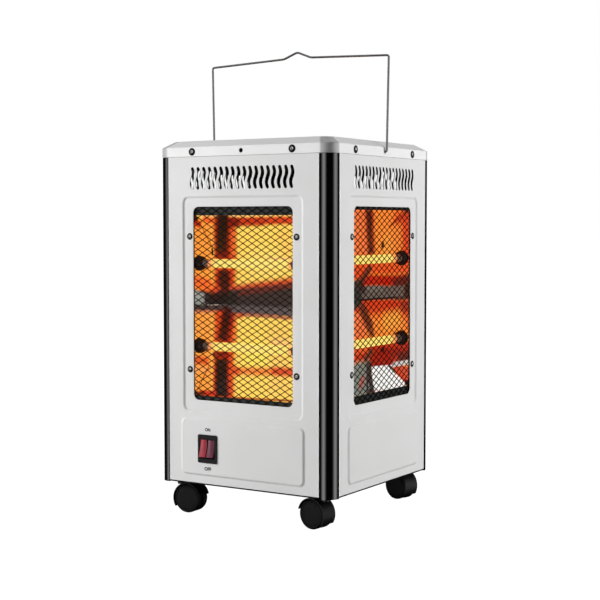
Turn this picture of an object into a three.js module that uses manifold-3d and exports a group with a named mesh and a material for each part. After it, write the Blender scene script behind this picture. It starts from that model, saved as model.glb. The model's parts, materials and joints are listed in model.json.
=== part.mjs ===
// Quartz heater: a square cabinet with a glowing window in each side and in its top, a wire carrying handle,
// two rocker switches and four twin-wheel casters.
// Millimetres, +Z up. The floor is z = 0 and the origin is under the middle of the cabinet.
// The front, with the switches, faces -Y. Each side is drawn as the front and turned about Z into its place.
import * as THREE from 'three';
import { mergeVertices } from 'three/addons/utils/BufferGeometryUtils.js';
import Module from 'manifold-3d';

const wasm = await Module();
wasm.setup();

// Cabinet
const cabinetWidth = 280;
const face = cabinetWidth / 2;
const gap = 0.3;
const sheet = 1.2;
const postRadius = 18.8;
const postWall = 2;
const postLow = 44;
const baseLow = 45;
const baseSheet = 1.7;
const panelLow = 47;
const panelHigh = 489.7;
const panelHalf = face - postRadius - gap;
const foldReach = 12;
const foldLow = panelLow + 8;
const foldHigh = 480;
const tongue = { halfWidth: 112, low: 482, high: 501 };
const screwHole = 2.1;
const screwShank = 1.6;
const screwHead = { radius: 3.9, height: 2 };

// Stampings of a panel: the window, the sunken surround of the window and the raised field under it
const windowHole = { halfWidth: 79.5, low: 161.5, high: 422.5, radius: 8 };
const windowMiddle = (windowHole.low + windowHole.high) / 2;
const surround = { halfWidth: 95.1, low: 145.3, high: 435.5, radius: 8, edge: 4, travel: 2 };
const field = { halfWidth: 98.3, low: 58.8, high: 134.2, radius: 7, edge: 4, travel: -2 };

// Wavy vent slots near the top of a panel
const slotCount = 18;
const slotPitch = 9.35;
const slotLow = 446;
const slotHigh = 476;
const slotWidth = 4.3;
const slotTipWidth = 2.6;
const slotWave = 1.7;

// Top cover
const coverSheet = 0.8;
const skirtLow = 490;
const skirtHigh = 503;
const coverTop = 512;
const bevelInset = 15;
const topHole = { halfWidth: 82, low: -82, high: 82, radius: 8 };
const skirtScrewAt = 80;
const skirtHoleZ = 496.5;
const pivotHoleRadius = 2.3;

// Guards of expanded metal
const guardSheet = 1.5;
const guardDepth = surround.travel + sheet + gap;
const guardPlate = { halfWidth: 91, low: 150, high: 431, radius: 2 };
const guardMesh = { halfWidth: 82, low: 158, high: 426, radius: 2 };
const diamond = { wide: 54.6, high: 38.2, strand: 2.4 };
const guardScrewAt = 85.6;
const guardScrewZ = [201.5, 382.5];

// Heating tubes, two behind each window, in two troughs of the reflector. The troughs of the front and rear stand
// a little lower than those of the right and left, so that the wires of neighbouring sides pass at the corners.
const troughShift = { front: -2.5, right: 2.9, rear: -2.5, left: 2.9 };
const tubeDepth = 17;
const tubeRise = 56.5;
const tubeRadius = 6;
const tubeBore = 4.6;
const capRadius = 9.6;
const capCollar = 10.5;
const spigotRadius = 6.2;
const spigotHole = 7.2;
const troughDepth = 47;
const troughBackHalf = 16;
const troughReach = 121.5;
const ridgeDepth = 31;
const reflectorFront = 6;
const reflectorHalf = 88;
const reflectorTaper = 8 / 42;
const reflectorSheet = 1.2;
const reflectorFlange = { halfWidth: 91, low: 159, high: 425, radius: 2 };
const topTubeZ = 490;
const topTubeAt = 38;

// Switches
const switchX = -54;
const switchZ = 95;
const bezel = { width: 31, height: 38.6, thick: 2 };
const switchBody = { width: 27, height: 34, depth: 22 };
const rockerPitch = 12.2;
const rockerWell = { halfWidth: 5.7, halfHeight: 12.9, depth: 12 };
const rocker = { width: 10.6, height: 23.8, proud: 1.6, hollow: 1.6 };
const rockerPivotDepth = -1.5;
const rockerTilt = 12.5;

// Wire handle, standing up
const wireRadius = 1.5;
const handleHalf = 145.2;
const handleFootX = 142.6;
const handleShoulderZ = 626;
const handleCrestZ = 639;
const handleBumpHalf = 22;
const handleBumpZ = 630.6;

// Casters: the axle trails behind the swivel axis
const casterAt = 116.5;
const casterTrail = 15;
const axleZ = 19.75;
const wheelSides = 20;
const wheelInner = 2.2;
const wheelOuter = 12.4;
const hoodRadius = 22;
const hoodBore = 20.75;
const hoodHalf = 12.6;
const hoodTop = 42.3;
const swivelPinLow = 38.1;
const axleRadius = 2;
const axleHoleRadius = 2.4;
const stem = { radius: 5, hole: 5.5, top: 52 };
const casters = [
  { name: 'front_right', x: casterAt, y: -casterAt, trail: 172 },
  { name: 'front_left', x: -casterAt, y: -casterAt, trail: 3 },
  { name: 'rear_left', x: -casterAt, y: casterAt, trail: 20 },
  { name: 'rear_right', x: casterAt, y: casterAt, trail: 165 },
];

// Finishes
const finish = {
  white: new THREE.MeshStandardMaterial({ color: 0xdcdcdc, roughness: 0.45, metalness: 0.1 }),
  cover: new THREE.MeshStandardMaterial({ color: 0xe6e6e6, roughness: 0.4, metalness: 0.1 }),
  glossBlack: new THREE.MeshStandardMaterial({ color: 0x101010, roughness: 0.15, metalness: 0 }),
  black: new THREE.MeshStandardMaterial({ color: 0x1a1a1a, roughness: 0.6, metalness: 0 }),
  guard: new THREE.MeshStandardMaterial({ color: 0x1c1a18, roughness: 0.5, metalness: 0.6 }),
  stainless: new THREE.MeshStandardMaterial({ color: 0xc8a878, roughness: 0.2, metalness: 1 }),
  quartz: new THREE.MeshStandardMaterial({ color: 0xffd070, roughness: 0.3, metalness: 0 }),
  ceramic: new THREE.MeshStandardMaterial({ color: 0x3a302c, roughness: 0.7, metalness: 0 }),
  red: new THREE.MeshStandardMaterial({ color: 0xa03040, roughness: 0.2, metalness: 0 }),
  steel: new THREE.MeshStandardMaterial({ color: 0x8a8a8a, roughness: 0.3, metalness: 1 }),
};

const heater = new THREE.Group();

function addMesh(parent, name, geometry, material) {
  const mesh = new THREE.Mesh(geometry, material);
  mesh.name = name;
  parent.add(mesh);
  return mesh;
}

// Weld the vertices, drop flat triangles and turn the faces outwards
function closed(geometry) {
  const bare = geometry.clone();
  bare.deleteAttribute('normal');
  bare.deleteAttribute('uv');
  const welded = mergeVertices(bare, 1e-4);
  const position = welded.getAttribute('position');
  const source = welded.getIndex().array;
  const corner = (i) => new THREE.Vector3().fromBufferAttribute(position, i);
  const index = [];
  let volume = 0;
  for (let i = 0; i < source.length; i += 3) {
    const [a, b, c] = source.slice(i, i + 3);
    if (a !== b && b !== c && c !== a) {
      index.push(a, b, c);
      volume += corner(a).dot(corner(b).cross(corner(c)));
    }
  }
  welded.setIndex(volume < 0 ? index.reverse() : index);
  return welded;
}

function toSolid(geometry) {
  const body = closed(geometry);
  const vertProperties = new Float32Array(body.getAttribute('position').array);
  const triVerts = new Uint32Array(body.getIndex().array);
  return new wasm.Manifold(new wasm.Mesh({ numProp: 3, vertProperties, triVerts }));
}

function toGeometry(solid) {
  const mesh = solid.getMesh();
  const geometry = new THREE.BufferGeometry();
  geometry.setAttribute('position', new THREE.BufferAttribute(new Float32Array(mesh.vertProperties), 3));
  geometry.setIndex(Array.from(mesh.triVerts));
  return geometry;
}

function join(...geometries) {
  return geometries.map(toSolid).reduce((whole, piece) => whole.add(piece));
}

function cut(solid, ...geometries) {
  return geometries.map(toSolid).reduce((whole, piece) => whole.subtract(piece), solid);
}

// A closed solid through loops of equal length. The outline gives the shape of its two end caps.
function loft(outline, loops) {
  const count = outline.length;
  const index = [];
  for (let ring = 0; ring + 1 < loops.length; ring += 1) {
    for (let i = 0; i < count; i += 1) {
      const a = ring * count + i;
      const b = ring * count + ((i + 1) % count);
      index.push(a, b, b + count, a, b + count, a + count);
    }
  }
  const last = (loops.length - 1) * count;
  for (const [a, b, c] of THREE.ShapeUtils.triangulateShape(outline, [])) {
    index.push(a, c, b, last + a, last + b, last + c);
  }
  const geometry = new THREE.BufferGeometry();
  const position = new Float32Array(loops.flat().flatMap((point) => point.toArray()));
  geometry.setAttribute('position', new THREE.BufferAttribute(position, 3));
  geometry.setIndex(index);
  return geometry;
}

function roundedRect(rect, grow = 0, steps = 3) {
  const halfWidth = rect.halfWidth + grow;
  const low = rect.low - grow;
  const high = rect.high + grow;
  const radius = Math.max(rect.radius + grow, 0.5);
  const centres = [
    [halfWidth - radius, low + radius],
    [halfWidth - radius, high - radius],
    [radius - halfWidth, high - radius],
    [radius - halfWidth, low + radius],
  ];
  return centres.flatMap(([x, y], quarter) => arcPoints(x, y, radius, quarter * 90 - 90, quarter * 90, steps));
}

function arcPoints(x, y, radius, from, to, steps) {
  return Array.from({ length: steps + 1 }, (_, step) => {
    const angle = THREE.MathUtils.degToRad(from + ((to - from) * step) / steps);
    return new THREE.Vector2(x + radius * Math.cos(angle), y + radius * Math.sin(angle));
  });
}

// Lay a flat outline on the front face, `depth` behind its plane, or level at a height
const onFace = (outline, depth) => outline.map((point) => new THREE.Vector3(point.x, depth - face, point.y));
const level = (outline, z) => outline.map((point) => new THREE.Vector3(point.x, point.y, z));

function facePlate(outline, from, to) {
  return loft(outline, [onFace(outline, to), onFace(outline, from)]);
}

function levelPlate(outline, from, to) {
  return loft(outline, [level(outline, from), level(outline, to)]);
}

function block(x0, x1, y0, y1, z0, z1) {
  const box = new THREE.BoxGeometry(x1 - x0, y1 - y0, z1 - z0);
  return box.translate((x0 + x1) / 2, (y0 + y1) / 2, (z0 + z1) / 2);
}

// A block on the front face, given by its depths behind the plane of the face
const faceBlock = (x0, x1, depth0, depth1, z0, z1) => block(x0, x1, depth0 - face, depth1 - face, z0, z1);

// Round bar between two depths behind the plane of the front face
function faceBar(radius, depth0, depth1, x, z, sides = 8) {
  const bar = new THREE.CylinderGeometry(radius, radius, depth1 - depth0, sides);
  return bar.translate(x, (depth0 + depth1) / 2 - face, z);
}

// Round bar standing upright
function postBar(radius, z0, z1, x, y, sides = 8) {
  const bar = new THREE.CylinderGeometry(radius, radius, z1 - z0, sides);
  return bar.rotateX(Math.PI / 2).translate(x, y, (z0 + z1) / 2);
}

// Pan-head screw along +Y with the underside of its head at y = 0, six-sided to keep it light. A screw is drawn in
// one piece with the sheet that it is threaded into, and stands in a clearance hole of the sheet that it holds.
function screw(headRadius, headHeight, shankRadius, length) {
  const profile = [
    [0, -headHeight],
    [headRadius, -headHeight],
    [headRadius, 0],
    [shankRadius, 0],
    [shankRadius, length],
    [0, length],
  ];
  return new THREE.LatheGeometry(profile.map(([r, y]) => new THREE.Vector2(r, y)), 6);
}

const panScrew = (length) => screw(screwHead.radius, screwHead.height, screwShank, length);
const faceScrew = (x, depth, z, length) => panScrew(length).translate(x, depth - gap - face, z);
const guardScrewPlaces = guardScrewZ.flatMap((z) => [[-guardScrewAt, z], [guardScrewAt, z]]);
const baseScrewPlaces = [[-60, 9 - face], [60, 9 - face]];

// Repeat a geometry drawn on the front face on all four sides
function onFourSides(geometry) {
  return [0, 1, 2, 3].map((quarter) => geometry.clone().rotateZ((quarter * Math.PI) / 2));
}

// One sloping-edged layer of a stamping, between two depths. `shift` is 0 for the outer skin of the sheet and the
// sheet's thickness for its inner skin.
function stampedLayer(stamping, shift, from, to) {
  const growAt = (depth) => stamping.edge / 2 - (stamping.edge * (depth - shift)) / stamping.travel;
  const loops = [from, to].map((depth) => onFace(roundedRect(stamping, growAt(depth)), depth));
  return loft(roundedRect(stamping), loops);
}

// A vent slot's edge swings right in its upper half and left in its lower half
function slotOutline(centre) {
  const stations = [0, 0.27, 0.73, 1];
  const along = stations.map((v) => ({
    x: centre + slotWave * Math.sin(2 * Math.PI * v),
    z: slotHigh - v * (slotHigh - slotLow),
    half: v === 0 || v === 1 ? slotTipWidth / 2 : slotWidth / 2,
  }));
  const leftDown = along.map((s) => new THREE.Vector2(s.x - s.half, s.z));
  const rightUp = along.map((s) => new THREE.Vector2(s.x + s.half, s.z)).reverse();
  return [...leftDown, ...rightUp];
}

function slotCutters() {
  const first = -((slotCount - 1) * slotPitch) / 2;
  return Array.from({ length: slotCount }, (_, i) => facePlate(slotOutline(first + i * slotPitch), -1, sheet + 1));
}

// Steel panel of one side: flat sheet with a sunken window surround, a raised field, vents, folded edges and
// a tongue that stands up behind the skirt of the cover
function panelSolid() {
  const skirtBack = coverSheet + 0.35;
  const sheetPlate = faceBlock(-panelHalf, panelHalf, 0, sheet, panelLow, panelHigh);
  const tongueReach = [skirtBack, skirtBack + sheet, tongue.low, tongue.high];
  const tonguePlate = faceBlock(-tongue.halfWidth, tongue.halfWidth, ...tongueReach);
  const leftFold = faceBlock(-panelHalf, sheet - panelHalf, 0.6, foldReach, foldLow, foldHigh);
  const rightFold = faceBlock(panelHalf - sheet, panelHalf, 0.6, foldReach, foldLow, foldHigh);
  const lowFold = faceBlock(-108, 108, 0.6, 14, panelLow, panelLow + sheet);
  const skirtScrews = [-skirtScrewAt, skirtScrewAt].map((x) => faceScrew(x, 0, skirtHoleZ, 5));
  const baseScrews = baseScrewPlaces.map(([x, y]) =>
    panScrew(6).rotateX(Math.PI / 2).translate(x, y, baseLow - gap));
  const sunkBack = stampedLayer(surround, sheet, 0.6, surround.travel + sheet);
  const raisedFront = stampedLayer(field, 0, 0.6, field.travel);
  const screws = [...skirtScrews, ...baseScrews];
  const body = join(sheetPlate, tonguePlate, leftFold, rightFold, lowFold, sunkBack, raisedFront, ...screws);
  return cut(
    body,
    stampedLayer(surround, 0, -0.5, surround.travel),
    stampedLayer(field, sheet, sheet + 0.5, field.travel + sheet),
    facePlate(roundedRect(windowHole), -1, 8),
    faceBar(pivotHoleRadius, 0, 4, 0, skirtHoleZ),
    ...slotCutters(),
    ...guardScrewPlaces.map(([x, z]) => faceBar(screwHole, 1, 5, x, z, 6)),
  );
}

// Diamond gaps of expanded metal inside a rectangle, as one cutter between two planes
function diamondGaps(rect, plate) {
  const pitchX = diamond.wide / 2;
  const pitchZ = diamond.high / 2;
  const middle = (rect.low + rect.high) / 2;
  const columns = Math.ceil(rect.halfWidth / pitchX);
  const rows = Math.ceil((rect.high - rect.low) / 2 / pitchZ);
  const gaps = [];
  for (let column = -columns; column <= columns; column += 1) {
    for (let row = -rows; row <= rows; row += 1) {
      if ((column + row) % 2 === 0) {
        const centre = new THREE.Vector2(column * pitchX, middle + row * pitchZ);
        const reach = [pitchX - diamond.strand, pitchZ - diamond.strand];
        const corners = [[1, 0], [0, 1], [-1, 0], [0, -1]];
        gaps.push(plate(corners.map(([x, z]) => new THREE.Vector2(centre.x + x * reach[0], centre.y + z * reach[1]))));
      }
    }
  }
  return join(...gaps).intersect(toSolid(plate(roundedRect(rect, 0, 1))));
}

function guardSolid() {
  const plate = facePlate(roundedRect(guardPlate, 0, 1), guardDepth, guardDepth + guardSheet);
  const screws = guardScrewPlaces.map(([x, z]) => faceScrew(x, surround.travel, z, 4.5));
  const gaps = diamondGaps(guardMesh, (outline) => facePlate(outline, guardDepth - 1, guardDepth + guardSheet + 1));
  return join(plate, ...screws).subtract(gaps);
}

// Section of the reflector as depth and height: two troughs with flat backs and a ridge between them
function reflectorProfile(middle, depthShift, heightShift) {
  const front = reflectorFront - 1 + depthShift;
  const back = troughDepth + depthShift;
  const half = [
    [front, troughReach + 2 + heightShift],
    [9, troughReach + heightShift],
    [back, tubeRise + troughBackHalf + heightShift],
    [back, tubeRise - troughBackHalf - heightShift],
  ];
  const above = half.map(([depth, rise]) => new THREE.Vector2(depth, middle + rise));
  const below = half.map(([depth, rise]) => new THREE.Vector2(depth, middle - rise)).reverse();
  const ridge = new THREE.Vector2(ridgeDepth + 1.6 * depthShift, middle);
  return [...above, ridge, ...below].reverse();
}

function reflectorBlock(profile, widen) {
  const halfAt = (depth) => reflectorHalf + widen - reflectorTaper * (depth - reflectorFront);
  const loops = [-1, 1].map((side) =>
    profile.map((point) => new THREE.Vector3(side * halfAt(point.x), point.x - face, point.y)));
  return loft(profile, loops);
}

function crossBar(radius, halfLength, y, z, sides = 8) {
  const bar = new THREE.CylinderGeometry(radius, radius, 2 * halfLength, sides);
  return bar.rotateZ(Math.PI / 2).translate(0, y, z);
}

// The flange of the reflector closes the window round the mouth of its troughs
function reflectorSolid(middle) {
  const outer = reflectorBlock(reflectorProfile(middle, reflectorSheet, reflectorSheet), reflectorSheet);
  const inner = reflectorBlock(reflectorProfile(middle, 0, 0), 0);
  const flangeDepth = guardDepth + guardSheet + gap;
  const flange = facePlate(roundedRect(reflectorFlange, 0, 1), flangeDepth, flangeDepth + reflectorSheet);
  const capHoles = [-tubeRise, tubeRise].map((rise) => crossBar(spigotHole, 100, tubeDepth - face, middle + rise));
  return cut(join(outer, flange), inner, ...capHoles);
}

function circle(radius, sides = 8) {
  return arcPoints(0, 0, radius, 0, 360, sides).slice(0, -1);
}

// Milky quartz tube along X with a ceramic cap on each end: a flange against the reflector and a spigot through it.
// The bore for the heating wire runs right through.
function heatingTube(y, z) {
  const half = [
    [tubeRadius, 72],
    [capRadius, 72],
    [capRadius, 79.3],
    [capCollar, 79.3],
    [capCollar, 83],
    [spigotRadius, 83],
    [spigotRadius, 93],
    [tubeBore, 93],
  ];
  const mirrored = half.map(([r, along]) => [r, -along]).reverse();
  const profile = [...half, ...mirrored, half[0]].map(([r, along]) => new THREE.Vector2(r, along));
  return closed(new THREE.LatheGeometry(profile, 8).rotateZ(Math.PI / 2).translate(0, y, z));
}

// Four sides
const sideNames = ['front', 'right', 'rear', 'left'];
const plainPanel = panelSolid();
const switchHole = faceBlock(
  switchX - switchBody.width / 2 - 0.4,
  switchX + switchBody.width / 2 + 0.4,
  -4,
  4,
  switchZ - switchBody.height / 2 - 0.4,
  switchZ + switchBody.height / 2 + 0.4,
);
const glandX = -60;
const glandZ = 95;
const panels = {
  front: cut(plainPanel, switchHole),
  right: plainPanel,
  rear: cut(plainPanel, faceBar(6.4, -4, 4, glandX, glandZ, 12)),
  left: plainPanel,
};
const guardGeometry = toGeometry(guardSolid());

sideNames.forEach((side, quarter) => {
  const troughMiddle = windowMiddle + troughShift[side];
  const group = new THREE.Group();
  group.rotation.z = (quarter * Math.PI) / 2;
  heater.add(group);
  addMesh(group, `${side}_panel`, toGeometry(panels[side]), finish.white);
  addMesh(group, `${side}_guard`, guardGeometry, finish.guard);
  addMesh(group, `${side}_reflector`, toGeometry(reflectorSolid(troughMiddle)), finish.stainless);
  addMesh(group, `${side}_lower_tube`, heatingTube(tubeDepth - face, troughMiddle - tubeRise), finish.quartz);
  addMesh(group, `${side}_upper_tube`, heatingTube(tubeDepth - face, troughMiddle + tubeRise), finish.quartz);
});

// Quarter-round corner posts, hollow, a little longer than the panels at the foot
function cornerPost() {
  const corner = new THREE.Vector2(face - postRadius, postRadius - face);
  const inside = corner.clone().add(new THREE.Vector2(postWall, -postWall));
  const outer = new THREE.Shape([corner, ...arcPoints(corner.x, corner.y, postRadius, -90, 0, 8)]);
  const boreReach = Math.sqrt((postRadius - postWall) ** 2 - postWall ** 2) - postWall;
  const bore = [inside, ...arcPoints(inside.x, inside.y, boreReach, -90, 0, 6)];
  outer.holes.push(new THREE.Path(bore));
  const post = new THREE.ExtrudeGeometry(outer, { depth: panelHigh - postLow, bevelEnabled: false });
  return post.translate(0, 0, postLow);
}

const postNames = ['front_right', 'rear_right', 'rear_left', 'front_left'];
postNames.forEach((name, quarter) => {
  const post = addMesh(heater, `${name}_post`, cornerPost(), finish.glossBlack);
  post.rotation.z = (quarter * Math.PI) / 2;
});

// Base tray: a plate notched round the posts, turned up inside the panels, with holes for casters and air
function baseTray() {
  const reach = face - 0.4;
  const notch = face - postRadius - gap;
  const corners = [[notch, -reach], [notch, -notch], [reach, -notch]];
  const outline = [0, 1, 2, 3].flatMap((quarter) =>
    corners.map(([x, y]) => new THREE.Vector2(x, y).rotateAround(new THREE.Vector2(), (quarter * Math.PI) / 2)));
  const plate = levelPlate(outline, baseLow, baseLow + baseSheet);
  const turnUp = faceBlock(-105, 105, 15.5, 15.5 + sheet, baseLow + 0.5, baseLow + 20);
  const stemHoles = casters.map((caster) => postBar(stem.hole, baseLow - 1, baseLow + 3, caster.x, caster.y));
  const screwHoles = baseScrewPlaces.map(([x, y]) => postBar(screwHole, baseLow - 1, baseLow + 3, x, y, 6));
  const airSlots = [-45, -27, -9, 9, 27, 45].map((x) => block(x - 3, x + 3, -40, 40, baseLow - 1, baseLow + 3));
  return cut(join(plate, ...onFourSides(turnUp)), ...stemHoles, ...screwHoles.flatMap(onFourSides), ...airSlots);
}

addMesh(heater, 'base_tray', toGeometry(baseTray()), finish.black);

// Top cover: a skirt flush with the panels, a bevel and a flat rim round the top window
function topCover() {
  const outside = { halfWidth: face, low: -face, high: face, radius: postRadius };
  const ring = (inset, z) => level(roundedRect(outside, -inset), z);
  const loops = [
    ring(0, skirtLow),
    ring(0, skirtHigh - 0.8),
    ring(0.8, skirtHigh),
    ring(bevelInset, coverTop),
  ];
  const inside = [
    ring(coverSheet, skirtLow - 1),
    ring(coverSheet, skirtHigh - 1),
    ring(bevelInset, coverTop - 1),
  ];
  const shell = cut(toSolid(loft(roundedRect(outside), loops)), loft(roundedRect(outside), inside));
  const sideHoles = [
    faceBar(pivotHoleRadius, -1, 3, 0, skirtHoleZ),
    faceBar(screwHole, -1, 3, -skirtScrewAt, skirtHoleZ, 6),
    faceBar(screwHole, -1, 3, skirtScrewAt, skirtHoleZ, 6),
  ];
  const topScrewHoles = topScrewPlaces.map(([x, y]) => postBar(screwHole, coverTop - 3, coverTop + 1, x, y, 6));
  const opening = levelPlate(roundedRect(topHole), coverTop - 4, coverTop + 1);
  return cut(shell, opening, ...sideHoles.flatMap(onFourSides), ...topScrewHoles);
}

const topGuardZ = coverTop - 1 - gap - guardSheet;
const topScrewPlaces = [[-88, -52], [88, -52], [88, 52], [-88, 52]];

function topGuard() {
  const plateRect = { halfWidth: 93, low: -93, high: 93, radius: 3 };
  const meshRect = { halfWidth: 83, low: -83, high: 83, radius: 3 };
  const plate = levelPlate(roundedRect(plateRect, 0, 1), topGuardZ, topGuardZ + guardSheet);
  const gaps = diamondGaps(meshRect, (outline) => levelPlate(outline, topGuardZ - 1, topGuardZ + guardSheet + 1));
  const screws = topScrewPlaces.map(([x, y]) =>
    panScrew(4).rotateX(-Math.PI / 2).translate(x, y, coverTop + gap));
  return join(plate, ...screws).subtract(gaps);
}

// Shallow tray that holds the two top tubes and throws their heat upwards
function topReflector() {
  const mouth = { halfWidth: 91, low: -91, high: 91, radius: 6 };
  const mouthZ = topGuardZ - 0.5;
  const floorZ = 468;
  const trayLoop = (grow, z) => level(roundedRect(mouth, grow, 2), z);
  const outline = roundedRect(mouth, 0, 2);
  const outer = loft(outline, [trayLoop(-6, floorZ - reflectorSheet), trayLoop(1.2, mouthZ)]);
  const inner = loft(outline, [trayLoop(-7, floorZ), trayLoop(0.1, mouthZ + 1)]);
  const capHoles = [-topTubeAt, topTubeAt].map((y) => crossBar(spigotHole, 100, y, topTubeZ));
  return cut(toSolid(outer), inner, ...capHoles);
}

addMesh(heater, 'top_cover', toGeometry(topCover()), finish.cover);
addMesh(heater, 'top_guard', toGeometry(topGuard()), finish.guard);
addMesh(heater, 'top_reflector', toGeometry(topReflector()), finish.stainless);
addMesh(heater, 'top_front_tube', heatingTube(-topTubeAt, topTubeZ), finish.quartz);
addMesh(heater, 'top_rear_tube', heatingTube(topTubeAt, topTubeZ), finish.quartz);

// Switch housing with two wells for the rockers
function switchHousing() {
  const frontDepth = field.travel - gap - bezel.thick;
  const flange = faceBlock(
    switchX - bezel.width / 2,
    switchX + bezel.width / 2,
    frontDepth,
    field.travel - gap,
    switchZ - bezel.height / 2,
    switchZ + bezel.height / 2,
  );
  const body = faceBlock(
    switchX - switchBody.width / 2,
    switchX + switchBody.width / 2,
    frontDepth + 0.5,
    switchBody.depth,
    switchZ - switchBody.height / 2,
    switchZ + switchBody.height / 2,
  );
  const wells = [-1, 1].map((side) => {
    const x = switchX + (side * rockerPitch) / 2;
    return faceBlock(
      x - rockerWell.halfWidth,
      x + rockerWell.halfWidth,
      frontDepth - 1,
      rockerWell.depth,
      switchZ - rockerWell.halfHeight,
      switchZ + rockerWell.halfHeight,
    );
  });
  return cut(join(flange, body), ...wells);
}

addMesh(heater, 'switch_housing', toGeometry(switchHousing()), finish.black);

// A rocker is drawn level, then tipped so that its top is pressed in, which is on
function rockerPaddle() {
  const halfHeight = rocker.height / 2;
  const frontDepth = field.travel - gap - bezel.thick - rocker.proud - rockerPivotDepth;
  const hollow = Array.from({ length: 9 }, (_, i) => {
    const t = i / 4 - 1;
    return new THREE.Vector2(frontDepth + rocker.hollow * (1 - t * t), t * halfHeight);
  });
  const back = arcPoints(0, 0, halfHeight - 0.8, 50, -50, 4);
  const outline = [...hollow, ...back].reverse();
  const ends = [-1, 1].map((side) =>
    outline.map((point) => new THREE.Vector3((side * rocker.width) / 2, point.x, point.y)));
  return loft(outline, ends);
}

const rockerNames = ['left_rocker', 'right_rocker'];
rockerNames.forEach((name, i) => {
  const paddle = addMesh(heater, name, closed(rockerPaddle()), finish.red);
  paddle.position.set(switchX + (i - 0.5) * rockerPitch, rockerPivotDepth - face, switchZ);
  paddle.rotation.x = THREE.MathUtils.degToRad(-rockerTilt);
});

// Tip-over switch and terminal block on the base tray, and the gland for the supply cord at the rear
const floorZ = baseLow + baseSheet + gap;
const tipSwitch = join(
  block(35, 65, 55, 75, floorZ, floorZ + 24),
  block(44, 56, 50, 80, floorZ, floorZ + 6),
);
addMesh(heater, 'tip_over_switch', toGeometry(tipSwitch), finish.black);
const terminalWells = [-58, -40, -22].map((x) => block(x - 5, x + 5, 60, 82, floorZ + 8, floorZ + 20));
const terminalBlock = cut(toSolid(block(-68, -12, 63, 81, floorZ, floorZ + 16)), ...terminalWells);
addMesh(heater, 'terminal_block', toGeometry(terminalBlock), finish.ceramic);
const glandProfile = [[3.4, -4], [7.2, -4], [9, -2], [9, 0], [5.9, 0], [5.9, 9], [3.4, 9], [3.4, -4]];
const gland = new THREE.LatheGeometry(glandProfile.map(([r, y]) => new THREE.Vector2(r, y)), 12);
const glandMesh = addMesh(heater, 'cord_gland', closed(gland), finish.black);
glandMesh.position.set(-glandX, face - field.travel + gap, glandZ);
glandMesh.rotation.z = Math.PI;

// A wire bent in the XZ plane through its points, as rings set square to the bend
function bentWire(points, radius, sides) {
  const section = circle(radius, sides);
  const loops = points.map((point, i) => {
    const before = points[Math.max(i - 1, 0)];
    const after = points[Math.min(i + 1, points.length - 1)];
    const along = after.clone().sub(before).normalize();
    const across = new THREE.Vector3(-along.y, 0, along.x);
    return section.map((s) => new THREE.Vector3(point.x + across.x * s.x, s.y, point.y + across.z * s.x));
  });
  return loft(section, loops);
}

// Replace the sharp corners of a path by short arcs
function filleted(corners, radius, steps) {
  return corners.flatMap((corner, i) => {
    if (i === 0 || i === corners.length - 1) return [corner];
    const toBefore = corners[i - 1].clone().sub(corner).normalize();
    const toAfter = corners[i + 1].clone().sub(corner).normalize();
    const turn = toBefore.angleTo(toAfter);
    const reach = Math.min(radius / Math.tan(turn / 2), radius);
    const start = corner.clone().addScaledVector(toBefore, reach);
    const end = corner.clone().addScaledVector(toAfter, reach);
    const bend = new THREE.QuadraticBezierCurve(start, corner, end);
    return bend.getPoints(steps);
  });
}

// Carrying handle: hooked ends inside the skirt, legs outside it, and a grip with a bump in its middle
function handleWire() {
  const rightHalf = [
    [134.5, skirtHoleZ - 8],
    [134.5, skirtHoleZ],
    [handleFootX, skirtHoleZ],
    [handleHalf, handleShoulderZ],
    [handleBumpHalf, handleBumpZ],
    [0, handleCrestZ],
  ];
  const right = rightHalf.map(([x, z]) => new THREE.Vector2(x, z));
  const left = right.slice(0, -1).reverse().map((point) => new THREE.Vector2(-point.x, point.y));
  return closed(bentWire(filleted([...right, ...left], 3.4, 2), wireRadius, 8));
}

addMesh(heater, 'handle', handleWire(), finish.steel);

// Fixed part of a caster: a flange under the base tray and a stem through it, with the swivel pin below
function casterPlate() {
  const profile = [
    [0, swivelPinLow],
    [3.6, swivelPinLow],
    [3.6, 42.6],
    [14, 42.6],
    [14, 43.7],
    [stem.radius, 43.7],
    [stem.radius, stem.top],
    [0, stem.top],
  ];
  return closed(new THREE.LatheGeometry(profile.map(([r, z]) => new THREE.Vector2(r, z)), 10).rotateX(Math.PI / 2));
}

// Swivelling hood: a shell over both wheels, a web between them and a boss round the stem
function casterHood() {
  const start = 14;
  const end = 213;
  const pie = [new THREE.Vector2(0, 0), ...arcPoints(0, 0, hoodRadius, start, end, 16)];
  const place = (outline, y) => outline.map((p) => new THREE.Vector3(casterTrail + p.x, y, axleZ + p.y));
  const sector = loft(pie, [place(pie, hoodHalf), place(pie, -hoodHalf)]);
  const boss = postBar(6.5, 24, hoodTop, 0, 0, 12);
  const wheelRoom = [-1, 1].map((side) => {
    const room = circle(hoodBore, 20);
    return loft(room, [place(room, side * 1.7), place(room, side * (hoodHalf + 1))]);
  });
  const hub = circle(4.5, 8);
  const axleBoss = loft(hub, [place(hub, 1.7), place(hub, -1.7)]);
  const hole = circle(axleHoleRadius, 8);
  const axleHole = loft(hole, [place(hole, 3), place(hole, -3)]);
  const stemHole = postBar(4.1, swivelPinLow - gap, hoodTop + 1, 0, 0, 12);
  return join(sector, boss).subtract(join(...wheelRoom)).add(toSolid(axleBoss)).subtract(join(axleHole, stemHole));
}

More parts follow.
